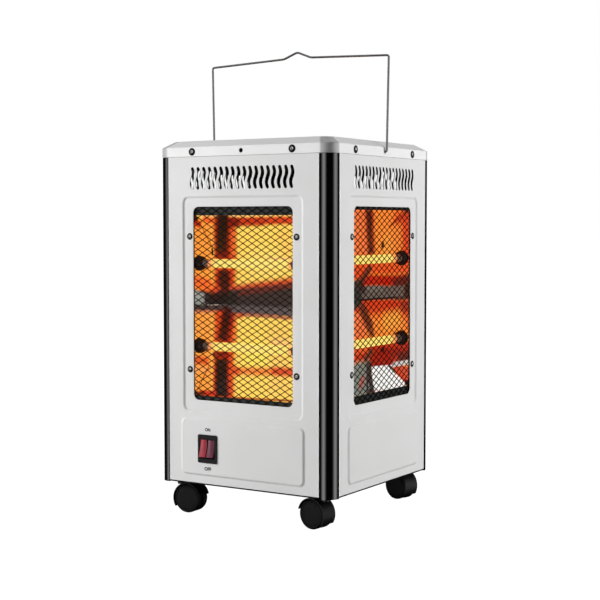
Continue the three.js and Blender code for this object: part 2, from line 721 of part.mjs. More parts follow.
// Wheel with a closed outer face and a blind bore for the axle; its facets let it stand square on the floor
function casterWheel(side) {
  const cornerRadius = axleZ / Math.cos(Math.PI / wheelSides);
  const place = (outline, y) => outline.map((p) => new THREE.Vector3(casterTrail + p.x, side * y, axleZ + p.y));
  const turned = (radius, sides) => arcPoints(0, 0, radius, 180 / sides, 360 + 180 / sides, sides).slice(0, -1);
  const rim = turned(cornerRadius, wheelSides);
  const wheel = loft(rim, [place(rim, wheelInner), place(rim, wheelOuter)]);
  const bore = turned(axleHoleRadius, 8);
  return cut(toSolid(wheel), loft(bore, [place(bore, wheelInner - 1), place(bore, wheelOuter - 2)]));
}

function casterAxle() {
  const place = (outline, y) => outline.map((p) => new THREE.Vector3(casterTrail + p.x, y, axleZ + p.y));
  const pin = circle(axleRadius, 8);
  return closed(loft(pin, [place(pin, 10), place(pin, -10)]));
}

const hoodGeometry = toGeometry(casterHood());
for (const caster of casters) {
  const group = new THREE.Group();
  group.position.set(caster.x, caster.y, 0);
  group.rotation.z = THREE.MathUtils.degToRad(caster.trail);
  heater.add(group);
  addMesh(group, `${caster.name}_caster_plate`, casterPlate(), finish.steel);
  addMesh(group, `${caster.name}_caster_hood`, hoodGeometry, finish.black);
  addMesh(group, `${caster.name}_axle`, casterAxle(), finish.steel);
  addMesh(group, `${caster.name}_wheel_a`, toGeometry(casterWheel(-1)), finish.black);
  addMesh(group, `${caster.name}_wheel_b`, toGeometry(casterWheel(1)), finish.black);
}

export default heater;
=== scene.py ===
import json
import math
import bpy
import bmesh
from mathutils import Matrix, Vector
from mathutils.geometry import tessellate_polygon

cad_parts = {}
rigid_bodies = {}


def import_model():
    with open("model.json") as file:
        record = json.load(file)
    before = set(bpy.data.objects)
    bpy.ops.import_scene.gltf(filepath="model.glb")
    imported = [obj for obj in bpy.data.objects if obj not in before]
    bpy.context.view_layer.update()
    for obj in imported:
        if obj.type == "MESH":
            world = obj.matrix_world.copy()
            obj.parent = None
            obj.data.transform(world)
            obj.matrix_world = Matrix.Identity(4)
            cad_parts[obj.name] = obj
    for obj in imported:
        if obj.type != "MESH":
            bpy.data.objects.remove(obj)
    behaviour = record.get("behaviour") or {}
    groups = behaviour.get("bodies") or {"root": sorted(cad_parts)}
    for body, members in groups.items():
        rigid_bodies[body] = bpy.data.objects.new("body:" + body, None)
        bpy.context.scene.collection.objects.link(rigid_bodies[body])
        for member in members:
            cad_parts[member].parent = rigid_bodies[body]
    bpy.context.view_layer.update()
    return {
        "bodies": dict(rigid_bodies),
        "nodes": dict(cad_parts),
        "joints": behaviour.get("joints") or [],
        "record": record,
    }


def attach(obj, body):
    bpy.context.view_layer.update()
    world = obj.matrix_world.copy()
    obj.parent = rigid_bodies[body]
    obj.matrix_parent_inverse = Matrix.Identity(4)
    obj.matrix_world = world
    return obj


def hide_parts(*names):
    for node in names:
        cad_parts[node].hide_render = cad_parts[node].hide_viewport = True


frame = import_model()
print("frame loaded")

# The heater's lengths are in millimetres, as on the drawing. The camera, the lamps and Blender itself have metres.
metre = 0.001
face = 140  # from the middle of the heater to the outside of a panel
quarters = {"front": 0, "right": 1, "rear": 2, "left": 3}


def addObject(name, data):
    thing = bpy.data.objects.new(name, data)
    bpy.context.scene.collection.objects.link(thing)
    return thing


def aroundObject(azimuth, distance, z):
    angle = math.radians(azimuth)
    return Vector((math.sin(angle) * distance, -math.cos(angle) * distance, z))


view = {"azimuth": 32.04, "elevation": 3.19, "distance": 1.9378, "aimHeight": 0.2921, "aimRight": 0.0038,
        "lens": 82.28, "sensor": 36, "clipEnd": 60}


def placeCamera():
    azimuth, elevation = math.radians(view["azimuth"]), math.radians(view["elevation"])
    back = aroundObject(view["azimuth"], math.cos(elevation), math.sin(elevation))
    right = Vector((math.cos(azimuth), math.sin(azimuth), 0))
    aim = Vector((0, 0, view["aimHeight"])) + view["aimRight"] * right
    data = bpy.data.cameras.new("camera")
    data.sensor_width = view["sensor"]
    data.lens = view["lens"]
    data.clip_end = view["clipEnd"]
    camera = addObject("camera", data)
    camera.location = aim + back * view["distance"]
    camera.rotation_euler = back.to_track_quat("Z", "Y").to_euler()
    bpy.context.scene.camera = camera


placeCamera()
bpy.context.scene.view_settings.view_transform = "Standard"


def feed(tree, node, inputs):
    # Each input takes either another node's output or a fixed value
    for key, value in inputs.items():
        if isinstance(value, bpy.types.NodeSocket):
            tree.links.new(value, node.inputs[key])
        else:
            node.inputs[key].default_value = value


def addNode(tree, kind, inputs=None, **settings):
    node = tree.nodes.new(kind)
    for key, value in settings.items():
        setattr(node, key, value)
    feed(tree, node, inputs or {})
    return node


def calculate(tree, operation, *values):
    return addNode(tree, "ShaderNodeMath", dict(enumerate(values)), operation=operation).outputs[0]


def spread(tree, source, low, high, fromLow=0.3, fromHigh=0.7):
    span = {"Value": source, "From Min": fromLow, "From Max": fromHigh, "To Min": low, "To Max": high}
    return addNode(tree, "ShaderNodeMapRange", span).outputs["Result"]


def newFinish(name):
    material = bpy.data.materials.new(name)
    material.use_nodes = True
    return material, material.node_tree, material.node_tree.nodes["Principled BSDF"]


def seenDirectly(tree):
    # 1 for rays that show the background itself: from the camera, off metal and through glass
    path = addNode(tree, "ShaderNodeLightPath")
    either = calculate(tree, "MAXIMUM", path.outputs["Is Camera Ray"], path.outputs["Is Glossy Ray"])
    return calculate(tree, "MAXIMUM", either, path.outputs["Is Transmission Ray"])


def onlyGlossSees(backdrop):
    backdrop.visible_camera = False
    backdrop.visible_diffuse = False
    backdrop.visible_shadow = False
    backdrop.visible_transmission = False


skyLight = 0.05


def lightWorld():
    world = bpy.data.worlds.new("studio")
    bpy.context.scene.world = world
    world.use_nodes = True
    tree = world.node_tree
    strength = spread(tree, seenDirectly(tree), skyLight, 1, 0, 1)
    feed(tree, tree.nodes["Background"], {"Color": (1, 1, 1, 1), "Strength": strength})


paleFloor = {"size": 60, "colour": (0.6, 0.6, 0.6, 1), "roughness": 0.9, "white": 1.18, "shade": 0.14}


def layFloor():
    bpy.ops.mesh.primitive_plane_add(size=paleFloor["size"])
    floor = bpy.context.object
    floor.name = "floor"
    material, tree, shader = newFinish("paleFloor")
    feed(tree, shader, {"Base Color": paleFloor["colour"], "Roughness": paleFloor["roughness"]})
    white = addNode(tree, "ShaderNodeEmission", {"Strength": paleFloor["white"]}).outputs["Emission"]
    share = calculate(tree, "MULTIPLY", seenDirectly(tree), 1 - paleFloor["shade"])
    mix = addNode(tree, "ShaderNodeMixShader", {"Fac": share, 1: shader.outputs["BSDF"], 2: white})
    feed(tree, tree.nodes["Material Output"], {"Surface": mix.outputs["Shader"]})
    floor.data.materials.append(material)
    floor.visible_glossy = False  # gloss sees the dark of the studio there, and the strips of light run on down


lampAim = 0.3  # height on the heater that the softboxes face
softboxes = [
    # azimuth round the heater from its front, height of the middle, distance, width, height and radiance
    {"name": "leftKey", "azimuth": -44, "z": 0.9, "distance": 2.2, "width": 1.5, "height": 1.3, "radiance": 9.9},
    {"name": "rightKey", "azimuth": 120, "z": 0.9, "distance": 2.4, "width": 1.6, "height": 1.3, "radiance": 9.8},
    {"name": "rearFill", "azimuth": 200, "z": 1.0, "distance": 2.6, "width": 1.6, "height": 1.2, "radiance": 3.4},
]


def hangSoftboxes():
    for box in softboxes:
        data = bpy.data.lights.new(box["name"], "AREA")
        data.shape = "RECTANGLE"
        data.size = box["width"]
        data.size_y = box["height"]
        data.energy = box["radiance"] * math.pi * box["width"] * box["height"]
        lamp = addObject(box["name"], data)
        lamp.location = aroundObject(box["azimuth"], box["distance"], box["z"])
        toObject = Vector((0, 0, lampAim)) - lamp.location
        lamp.rotation_euler = toObject.to_track_quat("-Z", "Y").to_euler()
        lamp.visible_camera = False
        lamp.visible_glossy = False


stripSize = {"distance": 3.2, "low": -1.4, "high": 1.5, "steps": 24}
glossStrips = [
    # long soft-edged strips that only gloss shows: azimuths of the two edges and of the brightest line
    {"name": "frontStrip", "from": -15, "to": 31, "brightest": 7, "radiance": 4.7},
    {"name": "sideStrip", "from": 74, "to": 128, "brightest": 101, "radiance": 4.3},
    {"name": "leftStrip", "from": -68, "to": -37, "brightest": -41, "radiance": 3.5},
    {"name": "rearStrip", "from": 220, "to": 262, "brightest": 240, "radiance": 4.0},
]


def stripLight(strip):
    lit, tree, _ = newFinish(strip["name"])
    tree.nodes.clear()
    fade = addNode(tree, "ShaderNodeAttribute", attribute_name="fade").outputs["Fac"]
    emission = addNode(tree, "ShaderNodeEmission", {"Strength": calculate(tree, "MULTIPLY", fade, strip["radiance"])})
    addNode(tree, "ShaderNodeOutputMaterial", {"Surface": emission.outputs["Emission"]})
    return lit


def hangStrips():
    steps = stripSize["steps"]
    for strip in glossStrips:
        verts, faces, shades = [], [], []
        for step in range(steps + 1):
            azimuth = strip["from"] + (strip["to"] - strip["from"]) * step / steps
            edge = strip["from"] if azimuth < strip["brightest"] else strip["to"]
            nearness = 1 - (azimuth - strip["brightest"]) / (edge - strip["brightest"])
            base = aroundObject(azimuth, stripSize["distance"], 0)
            verts += [(base.x, base.y, stripSize["low"]), (base.x, base.y, stripSize["high"])]
            shades += [0.5 - 0.5 * math.cos(math.pi * nearness)] * 2
        for step in range(steps):
            faces.append((2 * step, 2 * step + 2, 2 * step + 3, 2 * step + 1))
        mesh = bpy.data.meshes.new(strip["name"])
        mesh.from_pydata(verts, [], faces)
        mesh.attributes.new("fade", "FLOAT", "POINT").data.foreach_set("value", shades)
        mesh.materials.append(stripLight(strip))
        onlyGlossSees(addObject(strip["name"], mesh))


curtain = {"radius": 3.4, "low": -2.6, "high": 2.2, "steps": 48, "colour": (0.002, 0.002, 0.002, 1)}


def hangCurtain():
    # Black studio curtain all round and under the heater. Only gloss sees it, and it throws no shade.
    steps = curtain["steps"]
    verts, faces = [], []
    for step in range(steps):
        low = aroundObject(360 * step / steps, curtain["radius"], curtain["low"])
        verts += [tuple(low), (low.x, low.y, curtain["high"])]
    for step in range(steps):
        after = (step + 1) % steps
        faces.append((2 * step, 2 * after, 2 * after + 1, 2 * step + 1))
    faces.append([2 * step for step in range(steps)])
    mesh = bpy.data.meshes.new("curtain")
    mesh.from_pydata(verts, [], faces)
    black, tree, shader = newFinish("curtainBlack")
    feed(tree, shader, {"Base Color": curtain["colour"], "Specular IOR Level": 0})
    mesh.materials.append(black)
    onlyGlossSees(addObject("curtain", mesh))


lightWorld()
layFloor()
hangSoftboxes()
hangStrips()
hangCurtain()
print("studio ready")


def objectPlaces(tree):
    return addNode(tree, "ShaderNodeTexCoord").outputs["Object"]


def splitAxes(tree, vector):
    return addNode(tree, "ShaderNodeSeparateXYZ", {"Vector": vector}).outputs


def noiseAt(tree, scale, stretch=(1, 1, 1), detail=2):
    stretched = addNode(tree, "ShaderNodeMapping", {"Vector": objectPlaces(tree), "Scale": stretch})
    noise = {"Vector": stretched.outputs["Vector"], "Scale": scale, "Detail": detail}
    return addNode(tree, "ShaderNodeTexNoise", noise).outputs["Fac"]


def blendColours(tree, mask, first, second):
    mix = tree.nodes.new("ShaderNodeMix")
    mix.data_type = "RGBA"
    for socket, colour in ((mix.inputs["A"], first), (mix.inputs["B"], second)):
        if isinstance(colour, tuple):
            socket.default_value = (*colour, 1)
        else:
            tree.links.new(colour, socket)
    tree.links.new(mask, mix.inputs["Factor"])
    return mix.outputs["Result"]


def addBump(tree, shader, height, depth):
    bump = addNode(tree, "ShaderNodeBump", {"Height": height, "Strength": 1, "Distance": depth * metre})
    feed(tree, shader, {"Normal": bump.outputs["Normal"]})


cloudScale = 14


def surfaceFinish(name, colour, cloud, rough, metal=0, grain=900, depth=0.02, shine=0.5, stretch=(1, 1, 1)):
    # Two colours that drift into each other in soft clouds, with a fine grain in the gloss and the height.
    # A grey is given as one number.
    material, tree, shader = newFinish(name)
    first, second = [shade if isinstance(shade, tuple) else (shade,) * 3 for shade in (colour, cloud)]
    clouds = spread(tree, noiseAt(tree, cloudScale), 0, 1)
    fine = noiseAt(tree, grain, stretch)
    feed(tree, shader, {
        "Base Color": blendColours(tree, clouds, first, second), "Roughness": spread(tree, fine, *rough),
        "Metallic": metal, "Specular IOR Level": shine,
    })
    addBump(tree, shader, fine, depth)
    return material


recipes = {
    "panelEnamel": dict(colour=0.66, cloud=(0.64, 0.64, 0.637), rough=(0.36, 0.46), grain=700, depth=0.03, shine=0.3),
    "coverEnamel": dict(colour=0.76, cloud=(0.74, 0.74, 0.737), rough=(0.34, 0.44), grain=700, depth=0.03, shine=0.3),
    "postGloss": dict(colour=0.002, cloud=0.003, rough=(0.08, 0.14), grain=160, depth=0.004, stretch=(1, 1, 0.05)),
    "blackEnamel": dict(colour=0.01, cloud=(0.014, 0.014, 0.013), rough=(0.4, 0.55), grain=500, shine=0.25),
    # near-black back skin of the panels, troughs and tray: painted shade for the dark inside of the heater
    "paintedShadeInside": dict(colour=0.012, cloud=(0.02, 0.019, 0.018), rough=(0.5, 0.65), grain=300, shine=0.2),
    "flangeSteel": dict(colour=(0.017, 0.021, 0.019), cloud=(0.011, 0.014, 0.012), rough=(0.4, 0.55), grain=300,
                        shine=0.3),
    "guardPaint": dict(colour=0.002, cloud=(0.008, 0.004, 0.003), rough=(0.45, 0.65), shine=0.06),
    "ceramic": dict(colour=(0.014, 0.008, 0.007), cloud=(0.035, 0.01, 0.008), rough=(0.5, 0.7), grain=1200,
                    depth=0.05, shine=0.3),
    "paleCeramic": dict(colour=(0.62, 0.58, 0.5), cloud=(0.55, 0.5, 0.42), rough=(0.5, 0.7), grain=1200, depth=0.05),
    "plating": dict(colour=0.16, cloud=0.12, rough=(0.26, 0.32), metal=0.9, grain=60, depth=0),
    "zinc": dict(colour=(0.5, 0.5, 0.49), cloud=(0.42, 0.42, 0.4), rough=(0.22, 0.4), metal=1, grain=600, depth=0.01),
    "screwSteel": dict(colour=0.5, cloud=0.38, rough=(0.06, 0.14), metal=1, grain=600, depth=0.004),
    "casterPlastic": dict(colour=0.003, cloud=0.005, rough=(0.34, 0.46), grain=1500, depth=0.03, shine=0.24),
    "treadPlastic": dict(colour=0.002, cloud=0.0045, rough=(0.5, 0.7), grain=800, depth=0.06, shine=0.14),
    "baseEnamel": dict(colour=0.003, cloud=0.005, rough=(0.55, 0.7), grain=500, shine=0.08),
    "bezelPlastic": dict(colour=0.003, cloud=0.005, rough=(0.4, 0.5), grain=1500, shine=0.18),
    "printInk": dict(colour=0.004, cloud=0.008, rough=(0.6, 0.7), grain=1500, depth=0.01, shine=0.1),
}
finishes = {name: surfaceFinish(name, **recipe) for name, recipe in recipes.items()}

foldWear = {"start": 119.4, "end": 119.9, "bare": 0.9}


def bareEdges(material):
    # The enamel is thin on the folds of a panel, so bright steel shows there
    tree = material.node_tree
    outward = calculate(tree, "ABSOLUTE", splitAxes(tree, objectPlaces(tree))["X"])
    worn = spread(tree, outward, 0, foldWear["bare"], foldWear["start"] * metre, foldWear["end"] * metre)
    feed(tree, tree.nodes["Principled BSDF"], {"Metallic": worn})


# How dark the painted shade at the cover's corners gets, and over which share of the turn from one side to the next
cornerShade = {"colour": (0.02, 0.02, 0.02), "onset": (0, 0.48, 0.02, 0.15), "rest": (0, 0.18, 0.15, 0.87),
               "flat": (1, 0, 0.88, 0.95)}


def shadeCoverCorners(material):
    # Painted shade: the cover's colour is darkened at its four round corners, across the turn from one side to the next
    tree = material.node_tree
    shader = tree.nodes["Principled BSDF"]
    normal = addNode(tree, "ShaderNodeTexCoord").outputs["Normal"]
    outward = addNode(tree, "ShaderNodeVectorMath", {0: normal}, operation="ABSOLUTE").outputs["Vector"]
    axes = splitAxes(tree, outward)
    lesser, greater = [calculate(tree, pick, axes["X"], axes["Y"]) for pick in ("MINIMUM", "MAXIMUM")]
    turn = calculate(tree, "DIVIDE", lesser, greater)
    whole = calculate(tree, "ADD", *[spread(tree, turn, *cornerShade[part]) for part in ("onset", "rest")])
    drawn = calculate(tree, "MULTIPLY", whole, spread(tree, axes["Z"], *cornerShade["flat"]))  # none on the flat top
    enamel = shader.inputs["Base Color"].links[0].from_socket
    # the painted corner shade is blended into the enamel's colour
    feed(tree, shader, {"Base Color": blendColours(tree, drawn, enamel, cornerShade["colour"])})


rockerPlastic = {"cloudScale": 90, "rough": (0.28, 0.36)}


def rockerFinish(name, colour, deep, glow):
    material, tree, shader = newFinish(name)
    clouds = noiseAt(tree, rockerPlastic["cloudScale"])
    mixed = blendColours(tree, spread(tree, clouds, 0, 1), colour, deep)
    rough = spread(tree, clouds, *rockerPlastic["rough"])
    feed(tree, shader, {"Base Color": mixed, "Roughness": rough, "Emission Color": mixed, "Emission Strength": glow})
    return material


bareEdges(finishes["panelEnamel"])
# painted shade darkens the cover's four round corners
shadeCoverCorners(finishes["coverEnamel"])
finishes["litRocker"] = rockerFinish("litRocker", (0.26, 0.016, 0.03), (0.17, 0.008, 0.018), 0.3)
finishes["dullRocker"] = rockerFinish("dullRocker", (0.1, 0.014, 0.035), (0.06, 0.008, 0.02), 0.25)


def tint(red, green, blue):
    # Colour on the screen, 0 to 255, as the light that a material wants
    levels = [value / 255 for value in (red, green, blue)]
    return tuple(v / 12.92 if v < 0.04045 else ((v + 0.055) / 1.055) ** 2.4 for v in levels)


# steel whose emission carries painted glow and painted reflections
glowSteel = {"glow": 1.05, "base": (0.05, 0.042, 0.036, 1), "rough": (0.3, 0.45), "streakScale": 120,
             "streaks": (0.1, 1, 1), "streakDepth": 0.02, "rippleScale": 30}


def flatPlaces(tree, look):
    # Two coordinates for the painted glow, square to the look that the strokes were laid out for
    places = objectPlaces(tree)
    ripple = {"Vector": places, "Scale": glowSteel["rippleScale"], "Detail": 1}
    ripple = addNode(tree, "ShaderNodeTexNoise", ripple).outputs["Color"]
    waves = {0: ripple, 1: (look["waviness"] * metre,) * 3, 2: places}
    axes = splitAxes(tree, addNode(tree, "ShaderNodeVectorMath", waves, operation="MULTIPLY_ADD").outputs["Vector"])
    flat = {}
    for part, lean, target in (("X", look["leanX"], "X"), (look["upAxis"], look["leanUp"], "Z")):
        leaned = calculate(tree, "MULTIPLY_ADD", axes["Y"], lean, axes[part])
        settle = lean * look["plane"] * metre - 0.5 * look["waviness"] * metre
        flat[target] = calculate(tree, "ADD", leaned, settle)
    return addNode(tree, "ShaderNodeCombineXYZ", flat).outputs["Vector"]


def strokeMask(tree, flat, stroke):
    # Soft-edged bar from one point to another
    x0, z0, x1, z1, halfWidth, blur, _, *strength = stroke
    bar = {"Vector": flat, "Location": ((x0 + x1) / 2 * metre, 0, (z0 + z1) / 2 * metre),
           "Rotation": (0, -math.atan2(z1 - z0, x1 - x0), 0)}
    onto = addNode(tree, "ShaderNodeMapping", bar, vector_type="TEXTURE").outputs["Vector"]
    along = splitAxes(tree, addNode(tree, "ShaderNodeVectorMath", {0: onto}, operation="ABSOLUTE").outputs["Vector"])
    masks = []
    for part, half, most in (("X", math.hypot(x1 - x0, z1 - z0) / 2, *(strength or [1])), ("Z", halfWidth, 1)):
        fade = {"Value": along[part], "From Min": max(half - blur, 0) * metre, "From Max": (half + blur) * metre,
                "To Min": most, "To Max": 0}
        edge = addNode(tree, "ShaderNodeMapRange", fade, interpolation_type="SMOOTHSTEP")
        masks.append(edge.outputs["Result"])
    return calculate(tree, "MULTIPLY", *masks)


def glowFinish(name, ground, strokes, look):
    # Bright steel whose colour is painted light: emission laid stroke by stroke paints the glow of the tubes and the
    # reflections in it
    material, tree, shader = newFinish(name)
    flat = flatPlaces(tree, look)
    colour = tint(*ground)
    for stroke in strokes:
        colour = blendColours(tree, strokeMask(tree, flat, stroke), colour, tint(*stroke[6]))
    streaks = noiseAt(tree, glowSteel["streakScale"], glowSteel["streaks"], 3)
    feed(tree, shader, {
        "Emission Color": colour, "Emission Strength": glowSteel["glow"], "Base Color": glowSteel["base"],
        "Metallic": 1, "Roughness": spread(tree, streaks, *glowSteel["rough"]),
    })
    addBump(tree, shader, streaks, glowSteel["streakDepth"])
    return material


# Strokes of painted glow and painted reflection, dark bands and pale patches too: from and to across and up, half width
# and soft edge in millimetres, then the colour, and the strength where it isn't 1. The troughs stand low at the front
# and rear, and high at the right and left.
lowTroughStrokes = [
    (-102, 407, -103, 300, 23.6, 6.0, (252, 152, 58)),
    (-103, 283, -103, 160, 23.6, 6.0, (252, 156, 64)),
    (-17, 347, 39, 348, 20.4, 13.6, (255, 216, 104), 0.9),
    (-28, 222, 19, 223, 15.3, 10.2, (248, 222, 92), 0.8),
    (31, 264, 29, 172, 16.0, 12.0, (255, 196, 100), 0.6),
    (34, 393, 47, 353, 9.9, 9.9, (255, 190, 90), 0.5),
    (-59, 409, -59, 305, 18.4, 5.2, (216, 70, 24)),
    (-60, 288, -61, 161, 17.6, 4.8, (216, 72, 26)),
    (-44, 391, -44, 352, 4.8, 3.2, (230, 98, 40), 0.85),
    (-43, 273, -43, 238, 4.4, 3.2, (234, 104, 42), 0.85),
    (-52, 401, 51, 402, 5.1, 2.7, (210, 62, 28)),
    (-52, 399, 6, 400, 5.1, 2.7, (186, 46, 22), 0.7),
    (-54, 399, -34, 399, 5.8, 3.1, (124, 22, 12)),
    (-100, 407, 51, 409, 1.5, 1.0, (255, 196, 112)),
    (-112, 401, -98, 395, 4.5, 2.4, (190, 44, 18)),
    (-112, 408, -103, 402, 3.2, 1.4, (30, 12, 8)),
    (-94, 404, -76, 402, 4.1, 2.4, (232, 86, 34), 0.9),
    (-102, 401, -88, 380, 0.8, 0.8, (120, 34, 12), 0.9),
    (-88, 380, -79, 367, 0.8, 0.8, (120, 34, 12), 0.9),
    (-80, 366, -80, 356, 1.4, 0.6, (18, 8, 6)),
    (-62, 409, -63, 352, 12.4, 4.0, (140, 26, 12)),
    (-61, 410, -64, 360, 8.4, 2.8, (34, 18, 12)),
    (-70, 358, -57, 359, 4.4, 3.4, (90, 14, 10), 0.7),
    (-61, 334, -59, 302, 12.0, 4.4, (140, 26, 12)),
    (-61, 336, -59, 302, 6.8, 3.2, (52, 14, 8)),
    (-95, 301, 55, 321, 7.8, 5.1, (208, 72, 36)),
    (-130, 293, 54, 298, 12.9, 2.4, (48, 36, 34)),
    (-57, 295, 54, 307, 12.9, 3.4, (48, 36, 34)),
    (-36, 304, 55, 318, 3.1, 2.7, (104, 30, 20), 0.85),
    (-60, 331, -57, 295, 7.6, 3.2, (60, 18, 12), 0.95),
    (-113, 320, -80, 313, 8.6, 4.5, (242, 104, 42)),
    (-78, 311, -72, 306, 5.5, 3.7, (214, 70, 30), 0.8),
    (-121, 303, -95, 294, 8.0, 2.8, (152, 152, 144)),
    (-121, 291, -93, 291, 3.7, 2.0, (136, 136, 130), 0.9),
    (-84, 292, -38, 295, 9.9, 3.1, (26, 18, 16)),
    (-86, 293, -42, 294, 5.8, 1.7, (26, 20, 18)),
    (-88, 287, -64, 288, 0.5, 0.5, (222, 200, 180)),
    (-63, 282, 54, 282, 5.8, 2.0, (86, 76, 76)),
    (-113, 282, -55, 284, 3.7, 2.0, (64, 54, 52)),
    (-113, 277, -74, 278, 2.0, 2.0, (196, 108, 84), 0.8),
    (-36, 276, 54, 274, 2.4, 2.0, (176, 84, 70), 0.9),
    (-57, 274, -28, 274, 3.4, 2.4, (206, 70, 34), 0.8),
    (-52, 280, -62, 238, 11.1, 4.0, (150, 28, 12)),
    (-52, 286, -64, 239, 6.4, 3.2, (60, 14, 8)),
    (-65, 222, -64, 163, 12.4, 3.6, (150, 28, 12)),
    (-65, 213, -64, 164, 9.2, 2.4, (30, 18, 14)),
    (-78, 221, -77, 215, 2.0, 1.2, (60, 12, 8)),
    (-74, 220, -55, 221, 2.0, 1.4, (90, 16, 10), 0.8),
    (-47, 198, 54, 202, 5.1, 4.1, (232, 110, 48), 0.9),
    (18, 201, 54, 202, 4.8, 3.7, (208, 60, 30), 0.9),
    (-47, 201, -34, 197, 6.3, 3.2, (210, 60, 28), 0.8),
    (-113, 211, -87, 209, 5.8, 4.1, (214, 72, 30), 0.9),
    (-113, 198, -87, 197, 4.1, 3.1, (255, 160, 84), 0.8),
    (-85, 204, -104, 170, 0.8, 0.8, (110, 30, 12), 0.9),
    (-101, 166, -74, 167, 4.1, 2.0, (196, 46, 20)),
    (-113, 164, -92, 164, 4.1, 2.0, (104, 26, 12)),
    (-114, 166, -104, 165, 3.4, 1.4, (28, 12, 8)),
    (-57, 163, 53, 166, 1.4, 1.0, (150, 34, 16), 0.9),
    (7, 347, 49, 347, 5.8, 4.4, (250, 182, 134), 0.7),
    (19, 238, 49, 238, 6.8, 5.1, (250, 190, 120), 0.6),
]
highTroughStrokes = [
    (12, 420, 19, 350, 19.4, 6.5, (238, 114, 58)),
    (80, 374, 102, 358, 14.6, 12.1, (255, 160, 66), 0.8),
    (150, 414, 155, 330, 18.2, 9.7, (220, 66, 26)),
    (113, 414, 126, 398, 11.8, 8.9, (226, 80, 32), 0.8),
    (38, 418, 46, 356, 11.7, 4.5, (170, 50, 24)),
    (37, 418, 45, 358, 6.5, 3.2, (70, 22, 14)),
    (97, 393, 140, 411, 1.9, 1.7, (140, 34, 18)),
    (139, 414, 162, 416, 4.2, 2.1, (48, 16, 10)),
    (122, 400, 158, 409, 5.0, 3.8, (190, 50, 22), 0.7),
    (80, 374, 77, 365, 3.8, 1.6, (30, 10, 8)),
    (-2, 340, 166, 333, 7.9, 3.8, (232, 82, 32)),
    (12, 321, 174, 315, 7.9, 3.8, (184, 28, 10)),
    (109, 312, 174, 319, 7.8, 4.6, (96, 20, 14)),
    (-6, 331, 33, 330, 7.6, 2.8, (222, 70, 28)),
    (45, 340, 15, 318, 5.4, 2.9, (84, 36, 28)),
    (26, 273, 175, 265, 6.2, 5.2, (236, 100, 36), 0.8),
    (-5, 287, 174, 278, 10.3, 5.2, (206, 52, 20)),
    (131, 282, 175, 272, 7.9, 4.6, (150, 40, 20), 0.9),
    (-5, 305, 174, 298, 9.6, 2.1, (100, 88, 80)),
    (26, 309, 80, 307, 3.4, 2.8, (116, 112, 104), 0.7),
    (1, 322, 7, 283, 14.2, 3.9, (44, 46, 42)),
    (12, 320, 29, 304, 5.6, 3.6, (40, 26, 22), 0.9),
    (141, 302, 174, 301, 10.3, 4.5, (44, 22, 18)),
    (12, 294, 116, 293, 1.4, 0.9, (26, 16, 14)),
    (113, 292, 174, 291, 2.4, 1.7, (60, 24, 18), 0.8),
    (10, 277, 16, 240, 15.5, 5.8, (238, 112, 62)),
    (19, 285, 46, 250, 9.6, 3.9, (130, 48, 30)),
    (20, 285, 46, 252, 5.6, 2.8, (90, 36, 24)),
    (46, 252, 50, 240, 6.2, 3.7, (110, 44, 28)),
    (81, 259, 131, 262, 12.2, 9.8, (255, 166, 64), 0.9),
    (156, 273, 160, 241, 8.4, 6.5, (214, 66, 28), 0.8),
    (-2, 219, 175, 219, 9.7, 3.5, (184, 40, 18)),
    (48, 212, 175, 210, 9.7, 3.5, (150, 24, 10)),
    (124, 207, 175, 206, 6.2, 4.1, (84, 22, 16), 0.9),
    (2, 224, 37, 224, 4.5, 2.4, (222, 84, 38)),
    (80, 224, 80, 217, 4.5, 2.0, (28, 12, 10)),
    (19, 209, 20, 154, 26.0, 4.5, (116, 124, 116)),
    (48, 222, 26, 209, 4.4, 2.4, (70, 40, 34)),
    (16, 186, 23, 179, 9.0, 4.8, (176, 84, 72), 0.9),
    (39, 206, 40, 158, 7.8, 3.2, (52, 46, 42)),
    (74, 192, 100, 148, 33.1, 1.2, (244, 244, 240)),
    (39, 188, 101, 183, 15.5, 0.7, (244, 244, 240)),
    (47, 166, 90, 164, 3.8, 2.4, (236, 206, 196), 0.7),
    (108, 169, 160, 155, 8.3, 0.7, (244, 244, 240)),
    (91, 189, 143, 165, 6.9, 0.8, (244, 244, 240)),
    (41, 207, 175, 203, 7.2, 1.0, (156, 30, 16)),
    (124, 205, 175, 206, 6.9, 4.2, (84, 22, 16), 0.9),
    (111, 200, 162, 171, 9.6, 0.9, (206, 66, 36)),
    (142, 185, 168, 181, 8.8, 1.1, (206, 66, 36)),
    (109, 198, 175, 200, 3.5, 1.0, (204, 196, 190)),
    (96, 198, 116, 187, 2.0, 1.1, (60, 40, 36)),
    (143, 172, 168, 166, 3.6, 1.4, (26, 14, 12)),
    (39, 206, 42, 183, 6.5, 2.6, (52, 46, 42)),
    (41, 187, 53, 157, 6.2, 2.5, (52, 46, 42)),
]
topTrayStrokes = [
    (-60, -38, 60, -38, 12, 12, (255, 190, 80)),
    (-60, 38, 60, 38, 12, 12, (255, 190, 80)),
    (-95, 0, 95, 0, 8, 10, (120, 30, 15)),
]
lowLook = {"plane": 93, "leanX": 0.69, "leanUp": 0.07, "upAxis": "Z", "waviness": 2}
highLook = {"plane": 93, "leanX": -1.77, "leanUp": 0.115, "upAxis": "Z", "waviness": 2}
trayLook = {"plane": 0, "leanX": 0, "leanUp": 0, "upAxis": "Y", "waviness": 4}
for name, ground, strokes, look in (("lowTroughGlow", (255, 210, 92), lowTroughStrokes, lowLook),
                                    ("highTroughGlow", (250, 134, 50), highTroughStrokes, highLook),
                                    ("topTrayGlow", (240, 110, 40), topTrayStrokes, trayLook)):
    finishes[name] = glowFinish(name, ground, strokes, look)

